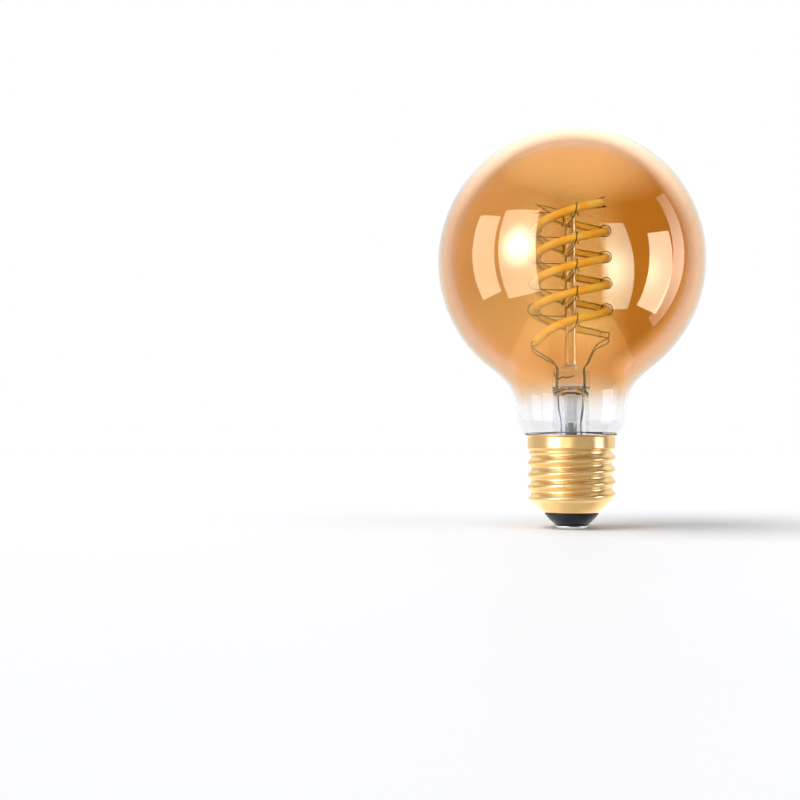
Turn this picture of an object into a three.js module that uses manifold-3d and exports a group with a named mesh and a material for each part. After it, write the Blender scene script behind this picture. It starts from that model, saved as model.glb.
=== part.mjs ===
// A smart filament light bulb: a globe of amber glass on an E27 screw cap. Inside it, two light-emitting
// strips are wound as a double helix round a glass rod, and the driver with its radio sits in the cap.
// Millimetres, +Z up. The origin is the middle of the centre contact's flat face, and the bulb points up.
import * as THREE from "three";
import { mergeVertices } from "three/addons/utils/BufferGeometryUtils.js";
import Module from "manifold-3d";

const wasm = await Module();
wasm.setup();

// ---- Driving dimensions ----

// Glass envelope
const OVERALL_LENGTH = 120;
const GLOBE_RADIUS = 40;
const GLASS_WALL = 0.9;
const GLOBE_BLEND_ANGLE = 39; // degrees off the downward axis, where the globe turns into the neck
const WAIST_RADIUS = 16.6; // the neck where it is narrowest below the globe
const WAIST_SHARE = 0.4; // how far up the neck that is, from the cap's rim to the globe
const SHOULDER_RADIUS = 16.2; // the neck just above its round shoulder
const SHOULDER_SHARE = 0.225; // how far up the neck that is
const SEAT_RADIUS = 11; // the neck's end, inside the cap
const SEAT_DEPTH = 8.4; // how far the neck's end reaches below the cap's rim

// Screw cap
const CAP_HEIGHT = 27.6; // from the contact face to the rim
const THREAD_RADIUS = 13.1;
const THREAD_DEPTH = 1.05;
const THREAD_PITCH = 3.629;
const SHELL_WALL = 0.3;
const COLLAR_RADIUS = 13.05;
const COLLAR_HEIGHT = 4.2;
const LIP_FLARE = 0.9;
const LIP_HEIGHT = 0.6;
const SHELL_BASE_RADIUS = 8;
const SHELL_BASE_HEIGHT = 4.4;
const CONE_HEIGHT = 3.9;
const INSULATOR_TIP_RADIUS = 5.1;
const CONTACT_RADIUS = 4.7;
const CONTACT_FLAT_RADIUS = 3.9;
const CONTACT_THICKNESS = 0.6;
const PIN_RADIUS = 0.9;
const PIN_LENGTH = 5.2;

// Glass mount
const STEM_TUBE_RADIUS = 5.4;
const STEM_WALL = 0.8;
const FLARE_HEIGHT = 9.5;
const PRESS_LENGTH = 9.5; // over which the round tube is pinched flat
const PRESS_SPREAD = 0.2; // how much wider than the tube the pinched part gets on each side
const PRESS_HALF_THICKNESS = 1.9;
const EXHAUST_RADIUS = 1.8;
const EXHAUST_WALL = 0.6;
const EXHAUST_LENGTH = 16.5;
const PORT_RADIUS = 0.8;
const ROD_RADIUS = 1.75;

// Light-emitting strips
const HELIX_RADIUS_BOTTOM = 11.2;
const HELIX_RADIUS_TOP = 10.6;
const HELIX_PITCH = 16;
const HELIX_TURNS = 2.33;
const HELIX_DROP = 2.8; // of the middle of the helix below the globe's centre
const HELIX_START_ANGLE = 209; // degrees, where strip a starts
const STRIP_WIDTH = 2.5;
const DOME_THICKNESS = 1.9;
const CARRIER_WIDTH = 2.1;
const CARRIER_THICKNESS = 0.22;
const END_DROOP = 2.6; // strip a's lower end hangs this much below its helix
const DROOP_ANGLE = 75; // degrees over which it comes down
const TERMINAL_LENGTH = 1.6;
const TERMINAL_WIDTH = 0.5;
const TERMINAL_THICKNESS = 0.22;
const TERMINAL_SPACING = 1.3;

// Wires
const HOOK_WIRE_RADIUS = 0.15;
const HOOK_CLEARANCE = 0.6; // of a loop round the edge of its strip
const HOOK_LOOP_SPAN = 285; // degrees
const HOOK_SIDE_SHIFT = 0.9; // the loop's end stands this far beside its start
const HOOK_TURN = 10; // degrees, the hooks' cross against the X and Y axes
const LEAD_RADIUS = 0.25;
const LEAD_DROP = 10.6; // from the strips' lower ends to the press
const LEAD_SPACING = 1.2;
const ROD_REACH = 1; // of the strips' upper ends above the rod
const BRIDGE_CLEARANCE = 1.2; // of the bridge wires above the rod

// Driver
const BOARD_THICKNESS = 1;
const BOARD_HEIGHT = 11.4;
const BOARD_CORNER_CUT = 1.6;
const BOARD_EDGE_GAP = 1.1; // from the board's edge to the liner
const LINER_WALL = 0.5;
const CAPACITOR_RADIUS = 3.1;
const CAPACITOR_HEIGHT = 8.6;
const INDUCTOR_RADIUS = 2.8;
const INDUCTOR_HEIGHT = 6.4;
const INDUCTOR_FLANGE = 0.9;
const RESISTOR_RADIUS = 1;
const RESISTOR_LENGTH = 5;
const ANTENNA_WIDTH = 2.6;
const ANTENNA_THICKNESS = 0.6;
const ANTENNA_LENGTH = 13;

// Clearances
const FUSED_GAP = 0.3; // between pieces of glass that are melted together on the real bulb
const FIT_GAP = 0.15; // between pieces that rest on or in each other
const JOINT_GAP = 0.1; // where a wire meets what it is soldered or welded to
const HOLE_CLEARANCE = 0.2; // round a wire that runs through glass or plastic
const TUBE_CLEARANCE = 0.35; // between a lead and the wall of the tube it runs down

// Fineness
const ROUND_SEGMENTS = 32;
const SMALL_SEGMENTS = 14;
const WIRE_SIDES = 5;
const THREAD_STEPS_PER_PITCH = 4;
const HELIX_STEPS = 42;
const NECK_STEPS = 4; // in each bend of the neck's line
const GLOBE_STEPS = 13;

// ---- Sizes worked out from them ----

const GLOBE_CENTRE = OVERALL_LENGTH - GLOBE_RADIUS;
const GLOBE_JOIN = GLOBE_CENTRE - GLOBE_RADIUS * Math.cos((GLOBE_BLEND_ANGLE * Math.PI) / 180);
const NECK_LENGTH = GLOBE_JOIN - CAP_HEIGHT;
const THREAD_ROOT_RADIUS = THREAD_RADIUS - THREAD_DEPTH;
const CONE_TOP = SHELL_BASE_HEIGHT + CONE_HEIGHT;
const COLLAR_BASE = CAP_HEIGHT - COLLAR_HEIGHT;
const SEAT_END = CAP_HEIGHT - SEAT_DEPTH;
const FLARE_RADIUS = SEAT_RADIUS - FIT_GAP;
const FLARE_BASE = SEAT_END - FUSED_GAP - STEM_WALL;
const FLARE_TOP = FLARE_BASE + FLARE_HEIGHT;
const HELIX_HEIGHT = HELIX_PITCH * HELIX_TURNS;
const HELIX_BASE = GLOBE_CENTRE - HELIX_DROP - HELIX_HEIGHT / 2; // height of the strips' lower ends
const PRESS_TOP = HELIX_BASE - LEAD_DROP;
const PRESS_BASE = PRESS_TOP - PRESS_LENGTH;
const PRESS_HALF_WIDTH = STEM_TUBE_RADIUS + PRESS_SPREAD;
const LEAD_OFFSET = STEM_TUBE_RADIUS - STEM_WALL - LEAD_RADIUS - TUBE_CLEARANCE; // from the axis
const HOOK_LOOP_RADIUS = STRIP_WIDTH / 2 + HOOK_CLEARANCE;
const CAVITY_DOME_BASE = PRESS_BASE + 1;
const CAVITY_DOME_HEIGHT = 2.3;
const EXHAUST_TOP = CAVITY_DOME_BASE + 0.6 * CAVITY_DOME_HEIGHT - FUSED_GAP;
const ROD_BASE = PRESS_TOP + FUSED_GAP;
const ROD_TOP = HELIX_BASE + HELIX_HEIGHT - ROD_REACH;
const HELIX_SWEEP = 360 * HELIX_TURNS;
const LINER_RADIUS = THREAD_ROOT_RADIUS - SHELL_WALL - FIT_GAP;
const BOARD_TOP = FLARE_BASE - FUSED_GAP;
const BOARD_BASE = BOARD_TOP - BOARD_HEIGHT;
const BOARD_HALF_WIDTH = LINER_RADIUS - LINER_WALL - BOARD_EDGE_GAP;
const BOARD_FACE = BOARD_THICKNESS / 2 + FIT_GAP;

// Strip b is strip a turned half a turn. Only strip a's lower end hangs down.
const STRIPS = [
  { name: "a", turn: 0, droop: END_DROOP },
  { name: "b", turn: 180, droop: 0 },
];
const ENDS = [["lower", -1], ["upper", 1]];
const ROWS = [["warm", -0.5], ["cool", 0.5]]; // each strip has two rows of chips, with a lead each

// ---- Geometry helpers ----

const radians = THREE.MathUtils.degToRad;
const smooth = THREE.MathUtils.smoothstep;

/** Turns a geometry's faces round if they point inwards. */
function facingOut(geometry) {
  const source = geometry.index ? geometry.toNonIndexed() : geometry;
  const position = source.getAttribute("position");
  const [a, b, c] = [new THREE.Vector3(), new THREE.Vector3(), new THREE.Vector3()];
  let volume = 0;
  for (let i = 0; i < position.count; i += 3) {
    a.fromBufferAttribute(position, i);
    b.fromBufferAttribute(position, i + 1);
    c.fromBufferAttribute(position, i + 2);
    volume += a.dot(b.cross(c));
  }
  if (volume > 0) return source;
  const turned = position.clone();
  for (let i = 0; i < position.count; i += 3) {
    turned.setXYZ(i + 1, position.getX(i + 2), position.getY(i + 2), position.getZ(i + 2));
    turned.setXYZ(i + 2, position.getX(i + 1), position.getY(i + 1), position.getZ(i + 1));
  }
  return new THREE.BufferGeometry().setAttribute("position", turned);
}

/** Spins a profile of [radius, height] points round Z. It starts and ends on the axis, or is a closed loop. */
function lathe(profile, segments = ROUND_SEGMENTS) {
  const points = profile.map(([radius, height]) => new THREE.Vector2(radius, height));
  return facingOut(new THREE.LatheGeometry(points, segments).rotateX(Math.PI / 2));
}

/** A ring of rectangular section as a closed lathe profile. */
function ringProfile(inner, outer, base, top) {
  return [[inner, base], [outer, base], [outer, top], [inner, top], [inner, base]];
}

/** A solid cylinder standing on base, on the Z axis. */
function cylinder(radius, base, top, segments = SMALL_SEGMENTS) {
  return lathe([[0, base], [radius, base], [radius, top], [0, top]], segments);
}

/** Skins rings of points into one closed body: joined end to end, or closed by a fan at each end. */
function skin(rings, joined = false) {
  const count = rings[0].length;
  const vertices = rings.flat();
  const faces = [];
  const spans = joined ? rings.length : rings.length - 1;
  for (let i = 0; i < spans; i++) {
    const here = i * count;
    const next = ((i + 1) % rings.length) * count;
    for (let k = 0; k < count; k++) {
      const l = (k + 1) % count;
      faces.push(here + k, next + k, next + l, here + k, next + l, here + l);
    }
  }
  if (!joined) {
    const last = rings.length - 1;
    for (const [ring, first, flip] of [[rings[0], 0, false], [rings[last], last * count, true]]) {
      const middle = ring.reduce((sum, p) => sum.add(p), new THREE.Vector3()).divideScalar(count);
      const centre = vertices.push(middle) - 1;
      for (let k = 0; k < count; k++) {
        const l = (k + 1) % count;
        faces.push(centre, first + (flip ? l : k), first + (flip ? k : l));
      }
    }
  }
  const geometry = new THREE.BufferGeometry().setFromPoints(vertices);
  return facingOut(geometry.setIndex(faces));
}

/** A round wire that bends at each of the points. */
function wire(points, radius) {
  const normal = new THREE.Vector3();
  const rings = points.map((point, i) => {
    const ahead = points[Math.min(i + 1, points.length - 1)];
    const along = ahead.clone().sub(points[Math.max(i - 1, 0)]).normalize();
    if (i === 0) normal.set(along.y, along.z, along.x).addScaledVector(along, -0.5);
    normal.addScaledVector(along, -normal.dot(along)).normalize();
    const side = new THREE.Vector3().crossVectors(along, normal);
    return Array.from({ length: WIRE_SIDES }, (_, k) => {
      const angle = (2 * Math.PI * k) / WIRE_SIDES;
      return point
        .clone()
        .addScaledVector(normal, radius * Math.cos(angle))
        .addScaledVector(side, radius * Math.sin(angle));
    });
  });
  return skin(rings);
}

/** Points along a smooth curve through the given ones, with steps spans in all. */
function smoothPath(points, steps) {
  return new THREE.CatmullRomCurve3(points, false, "centripetal").getPoints(steps);
}

/** A box between two corners. */
function block([x0, y0, z0], [x1, y1, z1]) {
  const box = new THREE.BoxGeometry(x1 - x0, y1 - y0, z1 - z0);
  return box.translate((x0 + x1) / 2, (y0 + y1) / 2, (z0 + z1) / 2);
}

/** A closed geometry as a manifold-3d solid. */
function toSolid(geometry) {
  const bare = new THREE.BufferGeometry().setAttribute("position", geometry.getAttribute("position"));
  if (geometry.index) bare.setIndex(geometry.index);
  const merged = mergeVertices(bare, 1e-4);
  const mesh = new wasm.Mesh({
    numProp: 3,
    vertProperties: merged.getAttribute("position").array,
    triVerts: new Uint32Array(merged.index.array),
  });
  return new wasm.Manifold(mesh);
}

/** A manifold-3d solid as a geometry. */
function toGeometry(solid) {
  const mesh = solid.getMesh();
  const position = new THREE.BufferAttribute(mesh.vertProperties, 3);
  const geometry = new THREE.BufferGeometry().setAttribute("position", position);
  return geometry.setIndex(new THREE.BufferAttribute(mesh.triVerts, 1));
}

/** The first geometry less all the others. */
function cut(body, ...tools) {
  return toGeometry(tools.reduce((solid, tool) => solid.subtract(toSolid(tool)), toSolid(body)));
}

// ---- Materials ----

const finish = (color, roughness, metalness = 0) =>
  new THREE.MeshStandardMaterial({ color, roughness, metalness });
const amberGlass = finish(0xd9923f, 0.05);
amberGlass.transparent = true;
amberGlass.opacity = 0.35;
const clearGlass = finish(0xe9eef0, 0.05);
clearGlass.transparent = true;
clearGlass.opacity = 0.35;
const goldMetal = finish(0xd8a95a, 0.3, 1);
const contactMetal = finish(0xc8c0ac, 0.35, 1);
const blackGlass = finish(0x2a2e2f, 0.3);
const cement = finish(0x9a9f98, 0.9);
const phosphor = finish(0xe9a52f, 0.5);
const carrierFilm = finish(0xb8792a, 0.45);
const nickelWire = finish(0x6f665c, 0.35, 1);
const circuitBoard = finish(0x1f5a3a, 0.5);
const packageBlack = finish(0x1c1c1e, 0.45);
const canMetal = finish(0xb9bcc0, 0.3, 1);
const ferrite = finish(0x3a3d42, 0.6);
const copperWire = finish(0xb4642a, 0.35, 1);
const resistorBody = finish(0x5f86a8, 0.5);
const wireSleeve = finish(0xb8322a, 0.5);
const linerPlastic = finish(0xe8e6df, 0.5);

const bulb = new THREE.Group();

/** Adds a named piece to the bulb. */
function add(name, geometry, material) {
  const mesh = new THREE.Mesh(geometry, material);
  mesh.name = name;
  bulb.add(mesh);
}

// ---- Glass envelope ----

/** The envelope's outer line, from the neck's end up to the crown, as [radius, height] points. */
function envelopeOutline() {
  const blend = radians(GLOBE_BLEND_ANGLE);
  const joinRadius = GLOBE_RADIUS * Math.sin(blend);
  const pull = 0.16 * GLOBE_RADIUS; // how long the neck's curve follows the globe's slope
  const waist = CAP_HEIGHT + WAIST_SHARE * NECK_LENGTH;
  const shoulder = CAP_HEIGHT + SHOULDER_SHARE * NECK_LENGTH;
  const throat = CAP_HEIGHT - 1.4; // where the neck starts to widen, inside the collar
  const cone = [COLLAR_RADIUS + 1, CAP_HEIGHT + 0.7]; // where the shoulder comes out over the rim
  const bends = [
    [
      [SEAT_RADIUS, throat],
      [SEAT_RADIUS, throat + 1.3],
      [cone[0] - 1.5, cone[1] - 0.9],
      cone,
    ],
    [
      cone,
      [cone[0] + 0.9, cone[1] + 1.2],
      [SHOULDER_RADIUS - 0.1, shoulder - 1.6],
      [SHOULDER_RADIUS, shoulder],
    ],
    [
      [WAIST_RADIUS, waist],
      [WAIST_RADIUS + 0.3, waist + 0.3 * NECK_LENGTH],
      [joinRadius - pull * Math.cos(blend), GLOBE_JOIN - pull * Math.sin(blend)],
      [joinRadius, GLOBE_JOIN],
    ],
  ];
  const line = [[SEAT_RADIUS, SEAT_END]];
  for (const corners of bends) {
    const bend = new THREE.CubicBezierCurve(...corners.map((corner) => new THREE.Vector2(...corner)));
    for (const p of bend.getPoints(NECK_STEPS)) line.push([p.x, p.y]);
  }
  // The bends before and after the cone's corner share it.
  line.splice(NECK_STEPS + 1, 1);
  for (let i = 1; i <= GLOBE_STEPS; i++) {
    const angle = blend + ((Math.PI - blend) * i) / GLOBE_STEPS;
    line.push([GLOBE_RADIUS * Math.sin(angle), GLOBE_CENTRE - GLOBE_RADIUS * Math.cos(angle)]);
  }
  line[line.length - 1][0] = 0;
  return line;
}

/** A line moved inwards by a wall's thickness, square to itself. */
function inset(line, wall) {
  return line.map(([radius, height], i) => {
    const [r0, h0] = line[Math.max(i - 1, 0)];
    const [r1, h1] = line[Math.min(i + 1, line.length - 1)];
    const length = Math.hypot(r1 - r0, h1 - h0);
    const moved = [radius - (wall * (h1 - h0)) / length, height + (wall * (r1 - r0)) / length];
    return i === line.length - 1 ? [0, height - wall] : i === 0 ? [radius - wall, height] : moved;
  });
}

const outline = envelopeOutline();
add("glass_envelope", lathe([...inset(outline, GLASS_WALL).reverse(), ...outline]), amberGlass);

// ---- Screw cap ----

/** The shell's outer radius without its thread. */
function plainShellRadius(height) {
  if (height < CONE_TOP) {
    const share = Math.pow((height - SHELL_BASE_HEIGHT) / CONE_HEIGHT, 0.85);
    return SHELL_BASE_RADIUS + (THREAD_ROOT_RADIUS - SHELL_BASE_RADIUS) * share;
  }
  const collar = smooth(height, COLLAR_BASE - 0.6, COLLAR_BASE + 0.4);
  const lip = smooth(height, CAP_HEIGHT - LIP_HEIGHT, CAP_HEIGHT);
  return THREAD_ROOT_RADIUS + (COLLAR_RADIUS - THREAD_ROOT_RADIUS) * collar + LIP_FLARE * lip;
}

/** How far the right-hand thread stands out at a height and an angle in turns. */
function threadRise(height, turns) {
  const phase = (height - CONE_TOP) / THREAD_PITCH - turns + 0.5;
  const crest = 0.5 + 0.5 * Math.cos(2 * Math.PI * phase);
  const start = smooth(height, CONE_TOP - 0.9, CONE_TOP + 0.5);
  const end = 1 - smooth(height, COLLAR_BASE - 1.6, COLLAR_BASE + 0.2);
  return THREAD_DEPTH * crest * start * end;
}

/** One ring of the shell, at a height, moved inwards by a wall. */
function shellRing(height, wall) {
  const ring = [];
  for (let k = 0; k < ROUND_SEGMENTS; k++) {
    const turns = k / ROUND_SEGMENTS;
    const angle = 2 * Math.PI * turns;
    const radius = plainShellRadius(height) + threadRise(height, turns) - wall;
    ring.push(new THREE.Vector3(radius * Math.cos(angle), radius * Math.sin(angle), height));
  }
  return ring;
}

function screwShell() {
  const heights = [SHELL_BASE_HEIGHT, SHELL_BASE_HEIGHT + CONE_HEIGHT / 2];
  const step = THREAD_PITCH / THREAD_STEPS_PER_PITCH;
  for (let h = CONE_TOP - 0.7; h < COLLAR_BASE - 0.9; h += step) heights.push(h);
  heights.push(COLLAR_BASE - 0.6, COLLAR_BASE - 0.1, COLLAR_BASE + 0.4);
  heights.push(CAP_HEIGHT - LIP_HEIGHT, CAP_HEIGHT - LIP_HEIGHT / 2, CAP_HEIGHT);
  const outside = heights.map((h) => shellRing(h, 0));
  const inside = heights.map((h) => shellRing(h, SHELL_WALL)).reverse();
  return skin([...outside, ...inside], true);
}

/** A cone below the shell, with a spigot that fills the shell's base and a bore for the contact's pin. */
function capInsulator() {
  const spigot = SHELL_BASE_RADIUS - SHELL_WALL - FIT_GAP;
  const bore = PIN_RADIUS + HOLE_CLEARANCE;
  const base = CONTACT_THICKNESS + 0.05;
  return lathe([
    [bore, base],
    [INSULATOR_TIP_RADIUS - 0.3, base],
    [INSULATOR_TIP_RADIUS, base + 0.3],
    [SHELL_BASE_RADIUS, SHELL_BASE_HEIGHT - 0.3],
    [SHELL_BASE_RADIUS, SHELL_BASE_HEIGHT - 0.05],
    [spigot, SHELL_BASE_HEIGHT - 0.05],
    [spigot, SHELL_BASE_HEIGHT + 0.6],
    [spigot - 1.2, SHELL_BASE_HEIGHT + 1.1],
    [bore, SHELL_BASE_HEIGHT + 1.1],
    [bore, base],
  ], 24);
}

function centreContact() {
  return lathe([
    [0, 0],
    [CONTACT_FLAT_RADIUS, 0],
    [CONTACT_RADIUS - 0.2, CONTACT_THICKNESS * 0.4],
    [CONTACT_RADIUS, CONTACT_THICKNESS],
    [PIN_RADIUS, CONTACT_THICKNESS],
    [PIN_RADIUS, CONTACT_THICKNESS + PIN_LENGTH],
    [0, CONTACT_THICKNESS + PIN_LENGTH],
  ], 24);
}

function basingCement() {
  const outer = COLLAR_RADIUS - SHELL_WALL - FIT_GAP;
  return lathe(ringProfile(SEAT_RADIUS + FIT_GAP, outer, COLLAR_BASE + 0.5, CAP_HEIGHT - 1.5));
}

add("screw_shell", screwShell(), goldMetal);
add("cap_insulator", capInsulator(), blackGlass);
add("centre_contact", centreContact(), contactMetal);
add("basing_cement", basingCement(), cement);

// ---- Glass mount: flare, press, exhaust tube and rod ----

/** The stem's half widths along X and Y at a height. */
function stemHalfWidths(height) {
  const flare = 1 - THREE.MathUtils.clamp((height - FLARE_BASE) / FLARE_HEIGHT, 0, 1);
  const round = STEM_TUBE_RADIUS + (FLARE_RADIUS - STEM_TUBE_RADIUS) * Math.pow(flare, 2.4);
  const pinch = smooth(height, PRESS_BASE, PRESS_BASE + 0.5 * PRESS_LENGTH);
  return [
    round + (PRESS_HALF_WIDTH - STEM_TUBE_RADIUS) * pinch,
    round + (PRESS_HALF_THICKNESS - STEM_TUBE_RADIUS) * pinch,
  ];
}

/** A flat ring with half widths x and y. */
function ovalRing(x, y, height, segments = 18) {
  return Array.from({ length: segments }, (_, k) => {
    const angle = (2 * Math.PI * k) / segments;
    return new THREE.Vector3(x * Math.cos(angle), y * Math.sin(angle), height);
  });
}

/** Evenly spaced heights from one to another. */
function heightsBetween(from, to, steps) {
  return Array.from({ length: steps + 1 }, (_, i) => from + ((to - from) * i) / steps);
}

function stemFlare() {
  const edge = 0.5; // round of the press's top edge
  const outer = [
    ...heightsBetween(FLARE_BASE, FLARE_TOP, 6),
    ...heightsBetween(PRESS_BASE, PRESS_BASE + 0.5 * PRESS_LENGTH, 5),
    PRESS_TOP - edge,
  ].map((h) => ovalRing(...stemHalfWidths(h), h));
  outer.push(ovalRing(PRESS_HALF_WIDTH - edge, PRESS_HALF_THICKNESS - edge, PRESS_TOP));
  const cavity = [...heightsBetween(FLARE_BASE, FLARE_TOP, 6), CAVITY_DOME_BASE].map((h) => {
    const [x, y] = stemHalfWidths(h);
    return ovalRing(x - STEM_WALL, y - STEM_WALL, h);
  });
  cavity.unshift(cavity[0].map((p) => new THREE.Vector3(p.x, p.y, FLARE_BASE - 1)));
  for (const share of [0.5, 0.8, 0.97]) {
    const height = CAVITY_DOME_BASE + share * CAVITY_DOME_HEIGHT;
    const [x, y] = stemHalfWidths(height);
    const dome = Math.sqrt(1 - share * share);
    cavity.push(ovalRing((x - STEM_WALL) * dome, (y - STEM_WALL) * dome, height));
  }
  const portTop = CAVITY_DOME_BASE + CAVITY_DOME_HEIGHT + 2.4;
  const port = cylinder(PORT_RADIUS, CAVITY_DOME_BASE + 1, portTop, 12);
  const mouth = cylinder(PORT_RADIUS, 0, PRESS_HALF_THICKNESS + 1, 12)
    .rotateX(Math.PI / 2)
    .translate(0, 0, portTop - PORT_RADIUS);
  const holes = STRIPS.flatMap((strip) => ROWS.map(([, row]) => leadPlace(strip, row))).map(([x, y]) =>
    cylinder(LEAD_RADIUS + HOLE_CLEARANCE, PRESS_BASE, PRESS_TOP + 1, 10).translate(x, y, 0),
  );
  return cut(skin(outer), skin(cavity), port, mouth, ...holes);
}

/** Where a strip's lead in a row runs through the press: strip a's on the left, strip b's on the right. */
function leadPlace(strip, row) {
  const side = strip.turn === 0 ? -1 : 1;
  return [side * LEAD_OFFSET, -side * row * LEAD_SPACING];
}

/** The exhaust tube: open into the flare above, melted shut to a nib below. */
function exhaustTube() {
  const base = EXHAUST_TOP - EXHAUST_LENGTH;
  const inner = EXHAUST_RADIUS - EXHAUST_WALL;
  return lathe([
    [0, base],
    [0.5, base + 0.3],
    [EXHAUST_RADIUS * 0.7, base + 1.2],
    [EXHAUST_RADIUS, base + 2.4],
    [EXHAUST_RADIUS, EXHAUST_TOP],
    [inner, EXHAUST_TOP],
    [inner, base + 2.8],
    [0, base + 2],
  ], SMALL_SEGMENTS);
}

/** The rod that carries the hooks, with a foot where it is melted to the press and a round top. */
function supportRod() {
  return lathe([
    [0, ROD_BASE],
    [ROD_RADIUS + 0.5, ROD_BASE],
    [ROD_RADIUS + 0.15, ROD_BASE + 0.6],
    [ROD_RADIUS, ROD_BASE + 1.6],
    [ROD_RADIUS, ROD_TOP - 1.4],
    [ROD_RADIUS * 0.85, ROD_TOP - 0.6],
    [ROD_RADIUS * 0.45, ROD_TOP - 0.1],
    [0, ROD_TOP],
  ], SMALL_SEGMENTS);
}

add("stem_flare", stemFlare(), clearGlass);
add("exhaust_tube", exhaustTube(), clearGlass);
add("support_rod", supportRod(), clearGlass);

// ---- Light-emitting strips ----

/** The middle of a strip's section, at a sweep in degrees from its lower end. */
function stripPoint(strip, sweep) {
  const share = sweep / HELIX_SWEEP;
  const radius = THREE.MathUtils.lerp(HELIX_RADIUS_BOTTOM, HELIX_RADIUS_TOP, share);
  const angle = radians(HELIX_START_ANGLE + strip.turn + sweep);
  const hang = strip.droop * Math.pow(Math.max(0, 1 - sweep / DROOP_ANGLE), 2);
  const height = HELIX_BASE + (HELIX_PITCH * sweep) / 360 - hang;
  return new THREE.Vector3(radius * Math.cos(angle), radius * Math.sin(angle), height);
}

/** The strip's own directions at a sweep: out from the axis, along the strip, and across its width. */
function stripFrame(strip, sweep) {
  const small = 0.5;
  const along = stripPoint(strip, sweep + small).sub(stripPoint(strip, sweep - small)).normalize();
  const point = stripPoint(strip, sweep);
  const out = new THREE.Vector3(point.x, point.y, 0).normalize();
  const across = new THREE.Vector3().crossVectors(out, along).normalize();
  out.crossVectors(along, across).normalize();
  return { point, out, along, across };
}

/** Sweeps a section of [out, across] points along a strip. */
function sweepStrip(strip, section) {
  const rings = heightsBetween(0, HELIX_SWEEP, HELIX_STEPS).map((sweep) => {
    const { point, out, across } = stripFrame(strip, sweep);
    return section.map(([o, a]) => point.clone().addScaledVector(out, o).addScaledVector(across, a));
  });
  return skin(rings);
}

/** The silicone's section: flat towards the axis and domed outwards. */
function domeSection() {
  const half = STRIP_WIDTH / 2;
  const flat = -DOME_THICKNESS * 0.4;
  const section = [[flat, -half * 0.86]];
  for (let k = 0; k <= 5; k++) {
    const angle = Math.PI * (k / 5 - 0.5);
    section.push([flat + 0.25 + (DOME_THICKNESS - 0.25) * Math.cos(angle), half * Math.sin(angle)]);
  }
  section.push([flat, half * 0.86]);
  return section;
}

/** The carrier's place along its strip's out direction: inner and outer face. */
function carrierFaces() {
  const outer = -DOME_THICKNESS * 0.4 - JOINT_GAP;
  return [outer - CARRIER_THICKNESS, outer];
}

function carrierSection() {
  const [inner, outer] = carrierFaces();
  const half = CARRIER_WIDTH / 2;
  return [[inner, half], [outer, half], [outer, -half], [inner, -half]];
}

/** Where a terminal stands out from a strip's end. end is -1 for the lower end and 1 for the upper. */
function terminalPoints(strip, end, row) {
  const { point, out, along, across } = stripFrame(strip, end < 0 ? 0 : HELIX_SWEEP);
  const middle = (carrierFaces()[0] + carrierFaces()[1]) / 2;
  const root = point.clone().addScaledVector(out, middle).addScaledVector(across, row * TERMINAL_SPACING);
  const start = root.clone().addScaledVector(along, end * JOINT_GAP);
  const tip = start.clone().addScaledVector(along, end * TERMINAL_LENGTH);
  return { start, tip, out, along, across };
}

function terminal(strip, end, row) {
  const { start, tip, out, across } = terminalPoints(strip, end, row);
  const [o, a] = [TERMINAL_THICKNESS / 2, TERMINAL_WIDTH / 2];
  const corners = [[-o, -a], [o, -a], [o, a], [-o, a]];
  const rings = [start, tip].map((p) =>
    corners.map(([x, y]) => p.clone().addScaledVector(out, x).addScaledVector(across, y)),
  );
  return skin(rings);
}

for (const strip of STRIPS) {
  add(`filament_${strip.name}_silicone`, sweepStrip(strip, domeSection()), phosphor);
  add(`filament_${strip.name}_carrier`, sweepStrip(strip, carrierSection()), carrierFilm);
  for (const [endName, end] of ENDS) {
    for (const [rowName, row] of ROWS) {
      add(`filament_${strip.name}_${endName}_${rowName}_terminal`, terminal(strip, end, row), nickelWire);
    }
  }
}

// ---- Hooks that hold the strips to the rod ----

/** Every place where a strip crosses an angle: its point there, lowest first. */
function crossings(angle) {
  const found = [];
  for (const strip of STRIPS) {
    let sweep = angle - HELIX_START_ANGLE - strip.turn;
    while (sweep < 0) sweep += 360;
    for (; sweep <= HELIX_SWEEP; sweep += 360) found.push(stripPoint(strip, sweep));
  }
  return found.sort((a, b) => a.z - b.z);
}

/** A wire from the rod, under a strip and round it. */
function hook(point) {
  const out = new THREE.Vector3(point.x, point.y, 0).normalize();
  const side = new THREE.Vector3(-out.y, out.x, 0);
  const foot = out.clone().multiplyScalar(ROD_RADIUS + JOINT_GAP).setZ(point.z - HOOK_LOOP_RADIUS);
  const reach = point.clone().setZ(0).length() - ROD_RADIUS;
  const points = [foot, foot.clone().addScaledVector(out, 0.6 * reach)];
  const steps = 9;
  for (let k = 0; k <= steps; k++) {
    const angle = radians((HOOK_LOOP_SPAN * k) / steps - 90);
    points.push(
      point
        .clone()
        .addScaledVector(out, HOOK_LOOP_RADIUS * Math.cos(angle))
        .addScaledVector(side, (HOOK_SIDE_SHIFT * k) / steps - HOOK_SIDE_SHIFT / 2)
        .add(new THREE.Vector3(0, 0, HOOK_LOOP_RADIUS * Math.sin(angle))),
    );
  }
  foot.addScaledVector(side, -HOOK_SIDE_SHIFT / 2);
  points[1].addScaledVector(side, -HOOK_SIDE_SHIFT / 2);
  return wire(points, HOOK_WIRE_RADIUS);
}

// Each side's name and how many of its lowest crossings go without a hook.
[["right", 0], ["back", 1], ["left", 0], ["front", 0]].forEach(([sideName, free], quarter) => {
  crossings(HOOK_TURN + 90 * quarter).slice(free).forEach((point, i) => {
    add(`support_hook_${sideName}_${i + 1}`, hook(point), nickelWire);
  });
});

// ---- Lead and bridge wires ----

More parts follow.
